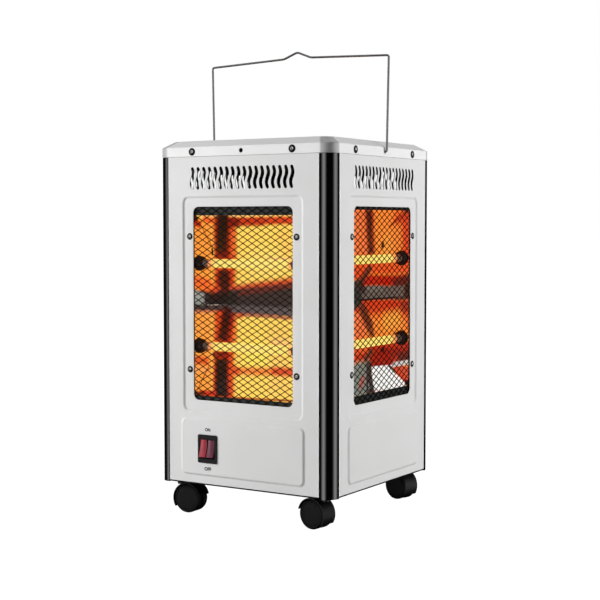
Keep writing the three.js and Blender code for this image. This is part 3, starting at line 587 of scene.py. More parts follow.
# Colours on the screen along the hot wire. Seen from its ends inwards, the warm colour is full as far as warmFull,
# and the cold one sets in at coldFrom, in millimetres.
milkyQuartz = {"hot": (255, 224, 104), "warm": (250, 146, 70), "cold": (34, 14, 10), "warmFull": 4, "coldFrom": 3,
               "turnScale": 120, "turns": (0.92, 1.02, 0, 1), "base": (0.12, 0.08, 0.06, 1), "roughness": 0.3}


def quartzFinish(name, start, end, warmth):
    # Milky quartz that glows where the hot wire lies in it, orange towards both ends of the wire and dark beyond them
    material, tree, shader = newFinish(name)
    places = objectPlaces(tree)
    along = splitAxes(tree, places)["X"]
    colour = tint(*milkyQuartz["hot"])
    for tip, inward in ((start, 1), (end, -1)):
        for low, high, shade in ((warmth, milkyQuartz["warmFull"], "warm"), (milkyQuartz["coldFrom"], 0, "cold")):
            mask = spread(tree, along, 0, 1, (tip + inward * low) * metre, (tip + inward * high) * metre)
            colour = blendColours(tree, mask, colour, tint(*milkyQuartz[shade]))
    turns = addNode(tree, "ShaderNodeTexWave", {"Vector": places, "Scale": milkyQuartz["turnScale"]})
    feed(tree, shader, {
        "Emission Color": colour, "Emission Strength": spread(tree, turns.outputs["Fac"], *milkyQuartz["turns"]),
        "Base Color": milkyQuartz["base"], "Roughness": milkyQuartz["roughness"],
    })
    return material


# The wire sits a little to one side in each tube
finishes["lowQuartz"] = quartzFinish("lowQuartz", -64, 76, 13)
finishes["highQuartz"] = quartzFinish("highQuartz", -76, 58, 18)
print("finishes mixed")


# A shape is a list of corners in millimetres and a list of faces
def newShape():
    return {"verts": [], "faces": []}


def addLoop(shape, points):
    start = len(shape["verts"])
    shape["verts"] += [tuple(point) for point in points]
    return list(range(start, start + len(points)))


def bridge(shape, first, second, closed=True):
    count = len(first)
    for i in range(count if closed else count - 1):
        j = (i + 1) % count
        shape["faces"].append((first[i], first[j], second[j], second[i]))


def bridgeAll(shape, loops):
    for first, second in zip(loops, loops[1:]):
        bridge(shape, first, second)


def closeEnds(shape, loops):
    shape["faces"] += [tuple(loops[0]), tuple(loops[-1])]


def fillBetween(shape, outer, holes, outward):
    loops = [outer, *holes]
    index = [i for loop in loops for i in loop]
    for tri in tessellate_polygon([[Vector(shape["verts"][i]) for i in loop] for loop in loops]):
        corners = [Vector(shape["verts"][index[i]]) for i in tri]
        normal = (corners[1] - corners[0]).cross(corners[2] - corners[0])
        ordered = tri if normal.dot(outward) > 0 else tri[::-1]
        shape["faces"].append(tuple(index[i] for i in ordered))


def joined(*shapes):
    whole = newShape()
    for shape in shapes:
        start = len(whole["verts"])
        whole["verts"] += shape["verts"]
        whole["faces"] += [tuple(i + start for i in corners) for corners in shape["faces"]]
    return whole


def moved(shape, matrix):
    return {"verts": [tuple(matrix @ Vector(v)) for v in shape["verts"]], "faces": list(shape["faces"])}


def turned(profile, segments=32, closed=False):
    # Turn (radius, height) points about Z. A closed profile comes back to its first point.
    shape = newShape()
    angles = [2 * math.pi * i / segments for i in range(segments)]
    rings = []
    for radius, height in profile:
        if radius:
            rings.append(addLoop(shape, [(radius * math.cos(a), radius * math.sin(a), height) for a in angles]))
        else:
            rings.append(addLoop(shape, [(0, 0, height)]) * segments)
    bridgeAll(shape, rings + rings[:1] if closed else rings)
    shape["faces"] = [tuple(dict.fromkeys(corners)) for corners in shape["faces"]]
    return shape


def arc(x, y, radius, start, end, steps):
    angles = [math.radians(start + (end - start) * i / steps) for i in range(steps + 1)]
    return [(x + radius * math.cos(a), y + radius * math.sin(a)) for a in angles]


def circle(x, y, radius):
    return arc(x, y, radius, 0, 345, 23)


def roundedRect(halfWidth, low, high, radius, steps=6, run=0.5):
    # Corners first run straight for a little, so that the flat beside them stays flat when it is shaded
    x, radius = halfWidth, max(radius, 0.3)
    points = []
    centres = [(x - radius, low + radius), (x - radius, high - radius),
               (radius - x, high - radius), (radius - x, low + radius)]
    for quarter, (cx, cy) in enumerate(centres):
        curve = arc(cx, cy, radius, 90 * quarter - 90, 90 * quarter, steps)
        before, after = math.radians(90 * quarter - 90), math.radians(90 * quarter)
        entry = (curve[0][0] + run * math.sin(before), curve[0][1] - run * math.cos(before))
        leave = (curve[-1][0] - run * math.sin(after), curve[-1][1] + run * math.cos(after))
        points += [entry, *curve, leave]
    return points


def grown(opening, grow, steps=6):
    half, low, high, radius = [opening[key] for key in ("half", "low", "high", "radius")]
    return roundedRect(half + grow, low - grow, high + grow, radius + grow, steps)


def square(half, radius, steps=6):
    return roundedRect(half, -half, half, radius, steps)


def onFace(points, depth):
    return [(x, depth - face, z) for x, z in points]


def atLevel(points, z):
    return [(x, y, z) for x, y in points]


def shift(x, y, z):
    return Matrix.Translation((x, y, z))


def spin(angle, axis="Z"):
    return Matrix.Rotation(angle, 4, axis)


def facing(quarter):
    return spin(quarter * math.pi / 2)


lying = spin(math.pi / 2, "X")  # what was turned about Z then points to the front

dressing = {"weld": 1e-6, "bevelSegments": 2, "bevelAngle": 40}


def evaluated(carrier):
    return bpy.data.meshes.new_from_object(carrier.evaluated_get(bpy.context.evaluated_depsgraph_get()))


def shaded(mesh, smooth):
    mesh.shade_smooth()
    mesh.set_sharp_from_angle(angle=math.radians(smooth))
    return mesh


def meshFrom(name, shape, sheet=0.0, smooth=35, bevel=0.0, skins=()):
    # A sheet may have two skins: the finish that it was drawn with, and another one on its back
    mesh = bpy.data.meshes.new(name)
    for skin in skins:
        mesh.materials.append(finishes[skin])
    mesh.from_pydata([tuple(c * metre for c in v) for v in shape["verts"]], [], shape["faces"])
    built = bmesh.new()
    built.from_mesh(mesh)
    bmesh.ops.remove_doubles(built, verts=built.verts, dist=dressing["weld"])
    if not sheet:
        bmesh.ops.recalc_face_normals(built, faces=built.faces)
    built.to_mesh(mesh)
    built.free()
    if sheet or bevel:
        carrier = addObject(name, mesh)
        if sheet:
            thickness = carrier.modifiers.new("thickness", "SOLIDIFY")
            thickness.thickness = sheet * metre
            thickness.offset = -1
            thickness.material_offset = len(skins) - 1 if skins else 0
            thickness.material_offset_rim = thickness.material_offset
        if bevel:
            edges = carrier.modifiers.new("edges", "BEVEL")
            edges.width = bevel * metre
            edges.segments = dressing["bevelSegments"]
            edges.limit_method = "ANGLE"
            edges.angle_limit = math.radians(dressing["bevelAngle"])
        mesh = evaluated(carrier)
        mesh.name = name
        bpy.data.objects.remove(carrier)
    return shaded(mesh, smooth)


def place(name, mesh, finish, body, replaces=(), slot=None, quarter=0, matrix=None):
    piece = addObject(name, mesh)
    piece.matrix_world = matrix or facing(quarter)
    if not mesh.materials:
        mesh.materials.append(finishes[finish])
    elif mesh.materials[0] is not finishes[finish]:
        piece.material_slots[0].link = "OBJECT"
        piece.material_slots[0].material = finishes[finish]
    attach(piece, body)
    if replaces:
        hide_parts(*replaces)
    return piece


flatRun = 0.6  # short straight run beside a fold or a stamping, which keeps the flat next to it flat when shaded
panel = {"half": 120.9, "low": 47, "high": 489.7, "sheet": 1.1, "fold": 1.6, "flange": 12, "pressSteps": 7}
surround = {"half": 95.1, "low": 145.3, "high": 435.5, "radius": 8, "edge": 4, "travel": 2}
field = {"half": 98.3, "low": 58.8, "high": 134.2, "radius": 7, "edge": 4, "travel": -2}
window = {"half": 79.5, "low": 160.4, "high": 422.5, "radius": 8}
windowLip = ((1.0, 0), (0.5, 0.05), (0.15, 0.25), (0, 0.6))  # how far outside the window, and how far sunk
vents = {"count": 18, "pitch": 9.35, "low": 445, "high": 476.5, "width": 5.4, "wave": 1.7, "narrowing": 0.16,
         "steps": 14}


def ventOutline(centre):
    # A wavy slot with round ends, a little narrower towards both
    radius, steps = vents["width"] / 2, vents["steps"]
    top, bottom = vents["high"] - radius, vents["low"] + radius
    middle = []
    for step in range(steps + 1):
        v = step / steps
        middle.append(Vector((centre + vents["wave"] * math.sin(2 * math.pi * v), top + (bottom - top) * v)))
    sides = []
    for i, point in enumerate(middle):
        along = (middle[min(i + 1, steps)] - middle[max(i - 1, 0)]).normalized()
        taper = radius * (1 - vents["narrowing"] + vents["narrowing"] * math.sin(math.pi * i / steps))
        sides.append((point, Vector((-along.y, along.x)) * taper, along * taper))
    left = [point - across for point, across, _ in sides]
    right = [point + across for point, across, _ in sides]
    caps = []
    for (point, across, along), turn in ((sides[0], -1), (sides[-1], 1)):
        caps.append([point + across * math.cos(a) * -turn + along * turn * math.sin(a)
                     for a in (math.pi / 4, math.pi / 2, 3 * math.pi / 4)])
    return [tuple(p) for p in [*right[::-1], *caps[0], *left, *caps[1]]]


def stamp(shape, stamping):
    # Loops of a soft-edged stamping, from the flat outside it to the flat inside it
    half, edge, steps = stamping["edge"] / 2, stamping["edge"], panel["pressSteps"]
    stations = [(half + flatRun, 0)]
    stations += [(half - edge * t / steps, stamping["travel"] * (0.5 - 0.5 * math.cos(math.pi * t / steps)))
                 for t in range(steps + 1)]
    stations += [(-half - flatRun, stamping["travel"])]
    loops = [addLoop(shape, onFace(grown(stamping, grow), depth)) for grow, depth in stations]
    bridgeAll(shape, loops)
    return loops[0], loops[-1]


def panelShape(cutOut=None):
    shape = newShape()
    outward = Vector((0, -1, 0))
    fold, half = panel["fold"], panel["half"] - panel["fold"]
    flatHalf = half - flatRun
    corners = [(side * flatHalf, panel[end]) for side, end in ((-1, "low"), (1, "low"), (1, "high"), (-1, "high"))]
    border = addLoop(shape, onFace(corners, 0))
    sunkOuter, sunkInner = stamp(shape, surround)
    raisedOuter, raisedInner = stamp(shape, field)
    first = -(vents["count"] - 1) * vents["pitch"] / 2
    slots = [addLoop(shape, onFace(ventOutline(first + i * vents["pitch"]), 0)) for i in range(vents["count"])]
    fillBetween(shape, border, [sunkOuter, raisedOuter, *slots], outward)
    hole = [addLoop(shape, onFace(cutOut, field["travel"]))] if cutOut else []
    fillBetween(shape, raisedInner, hole, outward)
    lip = [addLoop(shape, onFace(grown(window, grow), surround["travel"] + sink)) for grow, sink in windowLip]
    fillBetween(shape, sunkInner, [lip[0]], outward)
    bridgeAll(shape, lip)
    for side in (-1, 1):
        bend = [(flatHalf, 0), (half, 0)]
        bend += [(half + fold * math.sin(a), fold * (1 - math.cos(a)))
                 for a in (math.pi / 8, math.pi / 4, 3 * math.pi / 8, math.pi / 2)]
        bend += [(panel["half"], fold + flatRun), (panel["half"], panel["flange"])]
        low, high = [addLoop(shape, [(side * x, depth - face, panel[end]) for x, depth in bend])
                     for end in ("low", "high")]
        strip = (low, high) if side > 0 else (high, low)
        bridge(shape, *strip, closed=False)
    return shape


# The field of the front panel has a hole for the switches, and that of the rear panel one for the gland
cutOuts = {"front": [(-67.5, 78.5), (-40.5, 78.5), (-40.5, 111.5), (-67.5, 111.5)], "rear": circle(-60, 95, 6.3)}
for side, quarter in quarters.items():
    pressed = panelShape(cutOuts.get(side))
    panelMesh = meshFrom(f"{side}Panel", pressed, panel["sheet"], 45, skins=("panelEnamel", "paintedShadeInside"))
    place(f"{side}PressedPanel", panelMesh, "panelEnamel", "cabinet", [f"{side}_panel"], "panel", quarter)
print("panels pressed")


# The tips of each diamond are cut off blunt. The mesh runs on behind the frame that holds it.
guard = {"wide": 14.7, "high": 8.6, "strand": 0.53, "tilt": 0.35, "tipCut": 0.5, "tipRise": 0.3, "tipTilt": 0.4,
         "depth": 4.2, "topZ": 510, "sheet": 0.5, "border": 9, "proud": 0.1, "relief": 0.5}
sideGuard = {"meshHalf": 84, "meshLow": 158, "meshHigh": 426, "outer": 91, "half": 79.6, "low": 159, "high": 425}
topGuard = {"meshHalf": 86, "meshLow": -86, "meshHigh": 86, "outer": 93, "half": 84, "low": -84, "high": 84}


def expandedMetal(halfWidth, low, high, onPlane):
    # One tile round each diamond hole. A strand leans, so one side of it stands nearer the front.
    shape = newShape()
    corner = {}

    def cornerAt(x, z):
        key = (round(x, 3), round(z, 3))
        if key not in corner:
            corner[key] = addLoop(shape, [onPlane(x, z, 0)])[0]
        return corner[key]

    a, b = guard["wide"] / 2, guard["high"] / 2
    middle = (low + high) / 2
    shrink = 1 - guard["strand"] * math.hypot(a, b) / (a * b)
    tip, rise, tilt = a * shrink - guard["tipCut"], guard["tipRise"], guard["tilt"]
    lean = tilt * guard["tipTilt"]
    columns, rows = math.floor(halfWidth / a), math.floor((high - low) / 2 / b)
    for column in range(-columns, columns + 1):
        for row in range(-rows, rows + 1):
            if (column + row) % 2:
                continue
            x, z = column * a, middle + row * b
            right, top = cornerAt(x + a, z), cornerAt(x, z + b)
            left, bottom = cornerAt(x - a, z), cornerAt(x, z - b)
            hole = addLoop(shape, [
                onPlane(x + tip, z + rise, lean), onPlane(x, z + b * shrink, tilt), onPlane(x - tip, z + rise, lean),
                onPlane(x - tip, z - rise, -lean), onPlane(x, z - b * shrink, -tilt), onPlane(x + tip, z - rise, -lean),
            ])
            shape["faces"] += [
                (right, top, hole[1], hole[0]), (top, left, hole[2], hole[1]), (left, hole[3], hole[2]),
                (left, bottom, hole[4], hole[3]), (bottom, right, hole[5], hole[4]), (right, hole[0], hole[5]),
            ]
    return shape


def guardMesh(name, size, onPlane):
    mesh = expandedMetal(size["meshHalf"], size["meshLow"], size["meshHigh"], onPlane)
    frame, border = newShape(), guard["border"]
    outer = roundedRect(size["outer"], size["low"] - border, size["high"] + border, 2)
    inner = roundedRect(size["half"], size["low"], size["high"], 6)
    bridgeAll(frame, [addLoop(frame, [onPlane(x, z, guard["proud"]) for x, z in rim]) for rim in (outer, inner)])
    return meshFrom(name, joined(mesh, frame), guard["sheet"], 30)


def sidePlane(x, z, proud):
    return (x, guard["depth"] - face - proud * guard["relief"], z)


def topPlane(x, z, proud):
    return (x, z, guard["topZ"] + proud * guard["relief"])


sideMesh, topMesh = guardMesh("guard", sideGuard, sidePlane), guardMesh("topGuard", topGuard, topPlane)
for side, quarter in quarters.items():
    place(f"{side}ExpandedMetal", sideMesh, "guardPaint", "cabinet", [f"{side}_guard"], "guard", quarter)
place("topExpandedMetal", topMesh, "guardPaint", "cabinet", ["top_guard"], "guard")
print("guards cut and stretched")


troughLevels = {"low": ("front", "rear"), "high": ("right", "left")}
trough = {"windowMiddle": 292, "lowShift": -2.5, "highShift": 2.9, "rise": 56.5, "backHalf": 16, "reach": 121.5,
          "flare": 1.8, "front": 5.5, "lip": 9, "back": 47, "ridge": 31, "half": 88, "taper": 8 / 42,
          "taperFrom": 6, "corner": 2.5, "sheet": 0.8, "capHole": 7.2, "tubeDepth": 17, "flangeHalf": 91,
          "flangeReach": 133, "overhang": 1.8}
troughMiddle = {side: trough["windowMiddle"] + trough[f"{level}Shift"]
                for level, sides in troughLevels.items() for side in sides}


def softened(points, radius, steps=3):
    # Round the corners of an open path
    path = [points[0]]
    for before, corner, after in zip(points, points[1:], points[2:]):
        c = Vector(corner)
        inward, outward = (Vector(before) - c), (Vector(after) - c)
        reach = min(radius, inward.length / 2, outward.length / 2)
        start, end = c + inward.normalized() * reach, c + outward.normalized() * reach
        for step in range(steps + 1):
            t = step / steps
            path.append(tuple(start * (1 - t) ** 2 + c * 2 * t * (1 - t) + end * t * t))
    return [*path, points[-1]]


def troughSection(middle):
    rise, backHalf = trough["rise"], trough["backHalf"]
    half = [(trough["front"], trough["reach"] + trough["flare"]), (trough["lip"], trough["reach"]),
            (trough["back"], rise + backHalf), (trough["back"], rise - backHalf), (trough["ridge"], 0)]
    upper = [(depth, middle + up) for depth, up in half]
    lower = [(depth, middle - up) for depth, up in half[:-1]][::-1]
    return softened(upper + lower, trough["corner"])


def troughHalfAt(depth):
    return trough["half"] - trough["taper"] * (depth - trough["taperFrom"])


def troughShape(middle):
    shape = newShape()
    section = troughSection(middle)

    def endLoop(side, points):
        return addLoop(shape, [(side * troughHalfAt(depth), depth - face, z) for depth, z in points])

    right, left = endLoop(1, section), endLoop(-1, section)
    bridge(shape, left, right, closed=False)
    for side in (-1, 1):
        edge = endLoop(side, section)
        holes = [endLoop(side, circle(trough["tubeDepth"], middle + rise, trough["capHole"]))
                 for rise in (-trough["rise"], trough["rise"])]
        fillBetween(shape, edge, holes, Vector((-side, -0.2, 0)))
    return shape


def flangeShape(middle, overhang):
    # Flat flange of the trough, which closes the window round its mouth
    shape = newShape()
    half, reach, centre = troughHalfAt(trough["front"]), trough["reach"] + trough["flare"], trough["windowMiddle"]
    outline = roundedRect(trough["flangeHalf"], centre - trough["flangeReach"], centre + trough["flangeReach"], 2)
    outer = addLoop(shape, onFace(outline, trough["front"]))
    mouth = []
    for grow, sink in ((0.5, 0), (0.1, 0.15), (-0.1, 0.6)):
        rim = roundedRect(half + grow, middle - reach - grow, middle + reach - overhang + grow, 0.6)
        mouth.append(addLoop(shape, onFace(rim, trough["front"] + sink)))
    fillBetween(shape, outer, [mouth[0]], Vector((0, -1, 0)))
    bridgeAll(shape, mouth)
    return shape


for level, sides in troughLevels.items():
    middle, overhang = troughMiddle[sides[0]], trough["overhang"] if level == "low" else 0
    glow = f"{level}TroughGlow"
    troughMesh = meshFrom(f"{level}Trough", troughShape(middle), trough["sheet"], 28, skins=(glow, "paintedShadeInside"))
    flangeMesh = meshFrom(f"{level}Flange", flangeShape(middle, overhang), trough["sheet"], 40)
    for side in sides:
        reflector = ("cabinet", [f"{side}_reflector"], "reflector", quarters[side])
        place(f"{side}Trough", troughMesh, glow, *reflector)
        place(f"{side}TroughFlange", flangeMesh, "flangeSteel", *reflector)

tray = {"mouth": 91, "mouthZ": 508.5, "floorZ": 468.4, "draw": 7, "radius": 6, "sheet": 0.8, "tubeZ": 490, "tubeAt": 38}


def trayShape():
    shape = newShape()
    draw, mouthZ, floorZ = tray["draw"], tray["mouthZ"], tray["floorZ"]
    stations = [(0.6, mouthZ), (0, mouthZ - 0.6), (-draw + 0.6, floorZ + 3.5), (-draw - 0.6, floorZ + 1.2),
                (-draw - 2.5, floorZ), (-draw - 3.2, floorZ)]
    loops = [addLoop(shape, atLevel(square(tray["mouth"] + grow, tray["radius"]), z)) for grow, z in stations]
    bridgeAll(shape, loops)
    fillBetween(shape, loops[-1], [], Vector((0, 0, 1)))
    return shape


trayMesh = meshFrom("topTray", trayShape(), tray["sheet"], 40, skins=("topTrayGlow", "paintedShadeInside"))
place("topTray", trayMesh, "topTrayGlow", "cabinet", ["top_reflector"], "reflector")
print("reflectors folded")


tube = {"radius": 6, "half": 73, "sides": 40}
capProfile = [(5.9, 71.8), (6.9, 71.8), (7.4, 72.2), (9.2, 75.0), (9.5, 75.6), (9.5, 76.3), (9.1, 76.7), (9.1, 77.3),
              (9.5, 77.7), (9.5, 78.6), (10.2, 79.3), (10.5, 80.2), (10.5, 82.2), (10.2, 82.9), (9.6, 83), (6.3, 83),
              (6.2, 84), (6.2, 92), (5.6, 92.8), (3, 93), (3, 88), (0, 88)]
pinProfile = [(0, 86), (1.6, 86), (1.6, 94), (1.1, 94.6), (0, 94.6)]
glassBar = turned([(tube["radius"], -tube["half"]), (tube["radius"], tube["half"])], tube["sides"])
ceramicCap = joined(turned(capProfile), turned(pinProfile, 12))


def placeTube(name, y, z, quarter, node, quartz):
    crosswise, mirrored = [shift(0, y, z) @ spin(math.pi / 2 * way, "Y") for way in (1, -1)]
    bar = meshFrom(f"{name}Bar", moved(glassBar, crosswise), smooth=60)
    place(f"{name}Quartz", bar, quartz, "cabinet", [node], "quartz", quarter)
    caps = joined(moved(ceramicCap, crosswise), moved(ceramicCap, mirrored))
    place(f"{name}Caps", meshFrom(f"{name}Caps", caps), "ceramic", "cabinet", [node], "quartz", quarter)


for side, quarter in quarters.items():
    quartz = "lowQuartz" if side in troughLevels["low"] else "highQuartz"
    for level, rise in (("lower", -trough["rise"]), ("upper", trough["rise"])):
        name, node = f"{side}{level.capitalize()}", f"{side}_{level}_tube"
        placeTube(name, trough["tubeDepth"] - face, troughMiddle[side] + rise, quarter, node, quartz)
for end, y in (("front", -tray["tubeAt"]), ("rear", tray["tubeAt"])):
    placeTube(f"top{end.capitalize()}", y, tray["tubeZ"], 0, f"top_{end}_tube", "lowQuartz")
print("tubes set in")


post = {"radius": 18.8, "low": 44, "high": 489.7, "wall": 2, "steps": 24, "innerSteps": 12}


def postShape():
    shape = newShape()
    wall, x = post["wall"], face - post["radius"]
    outline = [(x, -x), (x, -face)] + arc(x, -x, post["radius"], -90, 0, post["steps"])[1:]
    inner = [(x + wall, -x - wall)] + arc(x + wall, -x - wall, post["radius"] - 2 * wall, -90, 0, post["innerSteps"])
    low, high, innerLow, innerHigh = [addLoop(shape, atLevel(points, post[end]))
                                      for points in (outline, inner) for end in ("low", "high")]
    bridge(shape, low, high)
    bridge(shape, innerHigh, innerLow)
    fillBetween(shape, low, [innerLow], Vector((0, 0, -1)))
    fillBetween(shape, high, [innerHigh], Vector((0, 0, 1)))
    return shape


postMesh = meshFrom("post", postShape(), smooth=30)
for quarter, corner in enumerate(("front_right", "rear_right", "rear_left", "front_left")):
    place(f"{corner}_glossPost", postMesh, "postGloss", "cabinet", [f"{corner}_post"], "post", quarter)
print("posts in")


# Stations of the cover give how far in from the panels' faces it stands, and its height
cover = {"radius": 18.8, "easing": 0.4, "top": 512, "opening": 82, "openingRadius": 8, "steps": 10, "sheet": 0.9,
         "holeZ": 496.5, "holes": (3.1, 2.4, 3.1, 2.4), "drill": 3}
coverStations = [(0.35, 490), (0, 490.4), (0, 491), (0, 501.6), (0, 502.2), (0.25, 502.9), (0.9, 503.4), (1.6, 503.8),
                 (13.6, 511.0), (14.4, 511.5), (15.4, 511.9), (16.4, cover["top"])]


def coverShape():
    shape = newShape()
    loops = [addLoop(shape, atLevel(square(face - inset, cover["radius"] - cover["easing"] * inset, cover["steps"]), z))
             for inset, z in coverStations]
    for grow, drop in ((1.2, 0), (0.6, 0), (0.15, 0.2), (0, 0.6)):
        rim = square(cover["opening"] + grow, cover["openingRadius"] + grow, cover["steps"])
        loops.append(addLoop(shape, atLevel(rim, cover["top"] - drop)))
    bridgeAll(shape, loops)
    return shape


def punched(mesh, cutters):
    # Cut the cutters' shapes out of the mesh, and shade what is left again
    carrier, tool = addObject("carrier", mesh), addObject("tool", meshFrom("tool", joined(*cutters)))
    cut = carrier.modifiers.new("cut", "BOOLEAN")
    cut.operation = "DIFFERENCE"
    cut.solver = "EXACT"
    cut.object = tool
    result = evaluated(carrier)
    for each in (carrier, tool):
        bpy.data.objects.remove(each)
    return shaded(result, 35)


def coverDrill(quarter, radius):
    low, high = -face - cover["drill"], -face + cover["drill"]
    drill = turned([(0, low), (radius, low), (radius, high), (0, high)], 24)
    return moved(moved(drill, shift(0, 0, cover["holeZ"]) @ spin(-math.pi / 2, "X")), facing(quarter))


coverHoles = [coverDrill(quarter, radius) for quarter, radius in enumerate(cover["holes"])]
coverMesh = punched(meshFrom("cover", coverShape(), cover["sheet"]), coverHoles)
place("pressedCover", coverMesh, "coverEnamel", "cabinet", ["top_cover"], "cover")
print("cover pressed")


# A screw is a domed head with a cross recess on a dark washer. Each blade that cuts the cross is given at its low
# and its high end, by half its length, half its width and its height.
screw = {"head": 2.7, "height": 1.7, "shank": 1.5, "length": 5, "sides": 28, "proud": 0.25, "crossTurn": 0.4,
         "crossLow": (1.5, 0.4, 0.7), "crossHigh": (1.8, 0.55, 3), "washerBore": 2.3, "skirtWasher": 5.2,
         "guardWasher": 4.5, "skirtAt": 80, "guardAt": 85.6, "guardZ": (201.5, 382.5)}
topScrews = ((-88, -52), (88, -52), (88, 52), (-88, 52))


def crossBlade(angle):
    blade = newShape()
    loops = [addLoop(blade, [(-x, -y, z), (x, -y, z), (x, y, z), (-x, y, z)])
             for x, y, z in (screw["crossLow"], screw["crossHigh"])]
    bridgeAll(blade, loops)
    closeEnds(blade, [loops[0][::-1], loops[1]])
    return moved(blade, spin(angle))


def screwMesh():
    r, h, shank, length = screw["head"], screw["height"], screw["shank"], screw["length"]
    dome = [(0, h), (0.5 * r, 0.93 * h), (0.78 * r, 0.72 * h), (0.95 * r, 0.4 * h), (r, 0.1 * h), (r, 0),
            (shank, 0), (shank, -length), (0, -length)]
    head = meshFrom("screwHead", turned(dome, screw["sides"]), smooth=50)
    for angle in (screw["crossTurn"], screw["crossTurn"] + math.pi / 2):
        head = punched(head, [crossBlade(angle)])
    return head


def washerMesh(r):
    bore = screw["washerBore"]
    ring = [(bore, 0.5), (r - 0.5, 0.35), (r, 0.05), (r, -0.25), (bore, -0.25)]
    return meshFrom("washer", turned(ring, screw["sides"], closed=True))


screwHead = screwMesh()
skirtWasher, guardWasher = washerMesh(screw["skirtWasher"]), washerMesh(screw["guardWasher"])


def screwAt(name, matrix, washer):
    place(name, screwHead, "screwSteel", "cabinet", matrix=matrix, slot="steel")
    place(f"{name}Washer", washer, "printInk", "cabinet", matrix=matrix, slot="black_plastic")


def sideScrew(name, x, z, depth, quarter, washer):
    # Each one came to rest at another angle
    driven = spin(0.7 * x + 1.3 * z)
    seat = facing(quarter) @ Matrix.Translation(Vector((x, depth - face, z)) * metre)
    screwAt(name, seat @ lying @ driven, washer)


for side, quarter in quarters.items():
    for hand, sign in (("Left", -1), ("Right", 1)):
        x, depth = sign * screw["skirtAt"], -screw["proud"]
        sideScrew(f"{side}{hand}SkirtScrew", x, cover["holeZ"], depth, quarter, skirtWasher)
        x, depth = sign * screw["guardAt"], surround["travel"] - screw["proud"]
        for level, z in zip(("Lower", "Upper"), screw["guardZ"]):
            sideScrew(f"{side}{hand}{level}GuardScrew", x, z, depth, quarter, guardWasher)
for i, (x, y) in enumerate(topScrews):
    seat = Matrix.Translation(Vector((x, y, cover["top"] + screw["proud"])) * metre)
    screwAt(f"topScrew{i + 1}", seat @ spin(i + 0.3), guardWasher)
print("screws driven")


switch = {"x": -54, "z": 95, "width": 31, "height": 38.6, "thick": 2, "radius": 1.6, "wellDepth": 10, "pitch": 12.2,
          "rockerWidth": 10.6, "rockerHeight": 23.8, "proud": 1.6, "hollow": 1.6, "pivotDepth": -1.5, "tilt": 12.5,
          "bevel": 0.6}
well = {"half": 5.7, "low": -12.9, "high": 12.9, "radius": 0.6}


def bezelShape():
    shape = newShape()
    back = field["travel"] - 0.05
    front = back - switch["thick"] - 0.25
    outward = Vector((0, -1, 0))

    def ring(points, x, depth):
        return addLoop(shape, onFace([(x + px, switch["z"] + pz) for px, pz in points], depth))

    loops = []
    for inset, depth in ((0, back), (0, front + 0.9), (0.25, front + 0.3), (0.9, front), (1.5, front)):
        half, reach = switch["width"] / 2 - inset, switch["height"] / 2 - inset
        loops.append(ring(roundedRect(half, -reach, reach, switch["radius"] - inset / 2, 4), switch["x"], depth))
    bridgeAll(shape, loops)
    wells = []
    for sign in (-1, 1):
        x = switch["x"] + sign * switch["pitch"] / 2
        rims = [ring(grown(well, grow, 3), x, depth)
                for grow, depth in ((0.25, front), (0, front + 0.3), (0, switch["wellDepth"]))]
        bridgeAll(shape, rims)
        fillBetween(shape, rims[-1], [], outward)
        wells.append(rims[0])
    fillBetween(shape, loops[-1], wells, outward)
    return shape


def rockerShape():
    half, side = switch["rockerHeight"] / 2, switch["rockerWidth"] / 2
    front = field["travel"] - 0.3 - switch["thick"] - switch["proud"] - switch["pivotDepth"]
    curve = [(front + switch["hollow"] * (1 - t * t), t * half) for t in [i / 12 - 1 for i in range(25)]]
    outline = curve + arc(0, 0, half - 0.9, 50, -50, 10)
    shape = newShape()
    left, right = [addLoop(shape, [(x, depth, z) for depth, z in outline]) for x in (-side, side)]
    bridge(shape, left, right)
    fillBetween(shape, left, [], Vector((-1, 0, 0)))
    fillBetween(shape, right, [], Vector((1, 0, 0)))
    return shape


bezelMesh = meshFrom("switchBezel", bezelShape())
place("switchBezel", bezelMesh, "bezelPlastic", "cabinet", ["switch_housing"], "black_plastic")
rockerMesh = meshFrom("rocker", rockerShape(), bevel=switch["bevel"])
for name, sign, finish in (("left", -1, "litRocker"), ("right", 1, "dullRocker")):
    pivot = Vector((switch["x"] + sign * switch["pitch"] / 2, switch["pivotDepth"] - face, switch["z"])) * metre
    tipped = Matrix.Translation(pivot) @ spin(math.radians(-switch["tilt"]), "X")
    rocker = f"{name}_rocker"
    place(f"{name}ClearRocker", rockerMesh.copy(), finish, rocker, [rocker], "rocker", matrix=tipped)


# The two words in capitals, raised and made bolder by so many metres
lettering = {"capHeight": 0.7, "raised": 0.00004, "bolder": 0.00025, "proud": 0.02}


def printWord(name, text, z, height):
    curve = bpy.data.curves.new(name, "FONT")
    curve.body = text
    curve.align_x = "CENTER"
    curve.align_y = "CENTER"
    curve.size = height / lettering["capHeight"] * metre
    curve.extrude = lettering["raised"]
    curve.offset = lettering["bolder"]
    curve.materials.append(finishes["printInk"])
    word = addObject(name, curve)
    seat = Vector((switch["x"], field["travel"] - face - lettering["proud"], z)) * metre
    word.matrix_world = Matrix.Translation(seat) @ lying
    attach(word, "cabinet")


printWord("wordOn", "ON", 121.0, 4.0)
printWord("wordOff", "OFF", 67.5, 4.4)
print("switches fitted")


# The wire hooks down behind the skirt, comes out through its hole and rises to the grip
handle = {"radius": 1.5, "sides": 16, "hook": 134.5, "hookDrop": 8, "foot": 142.6, "half": 145.2, "shoulder": 626,
          "bumpHalf": 22, "bumpZ": 630.6, "crest": 639, "bend": 3.4, "bendSteps": 6}


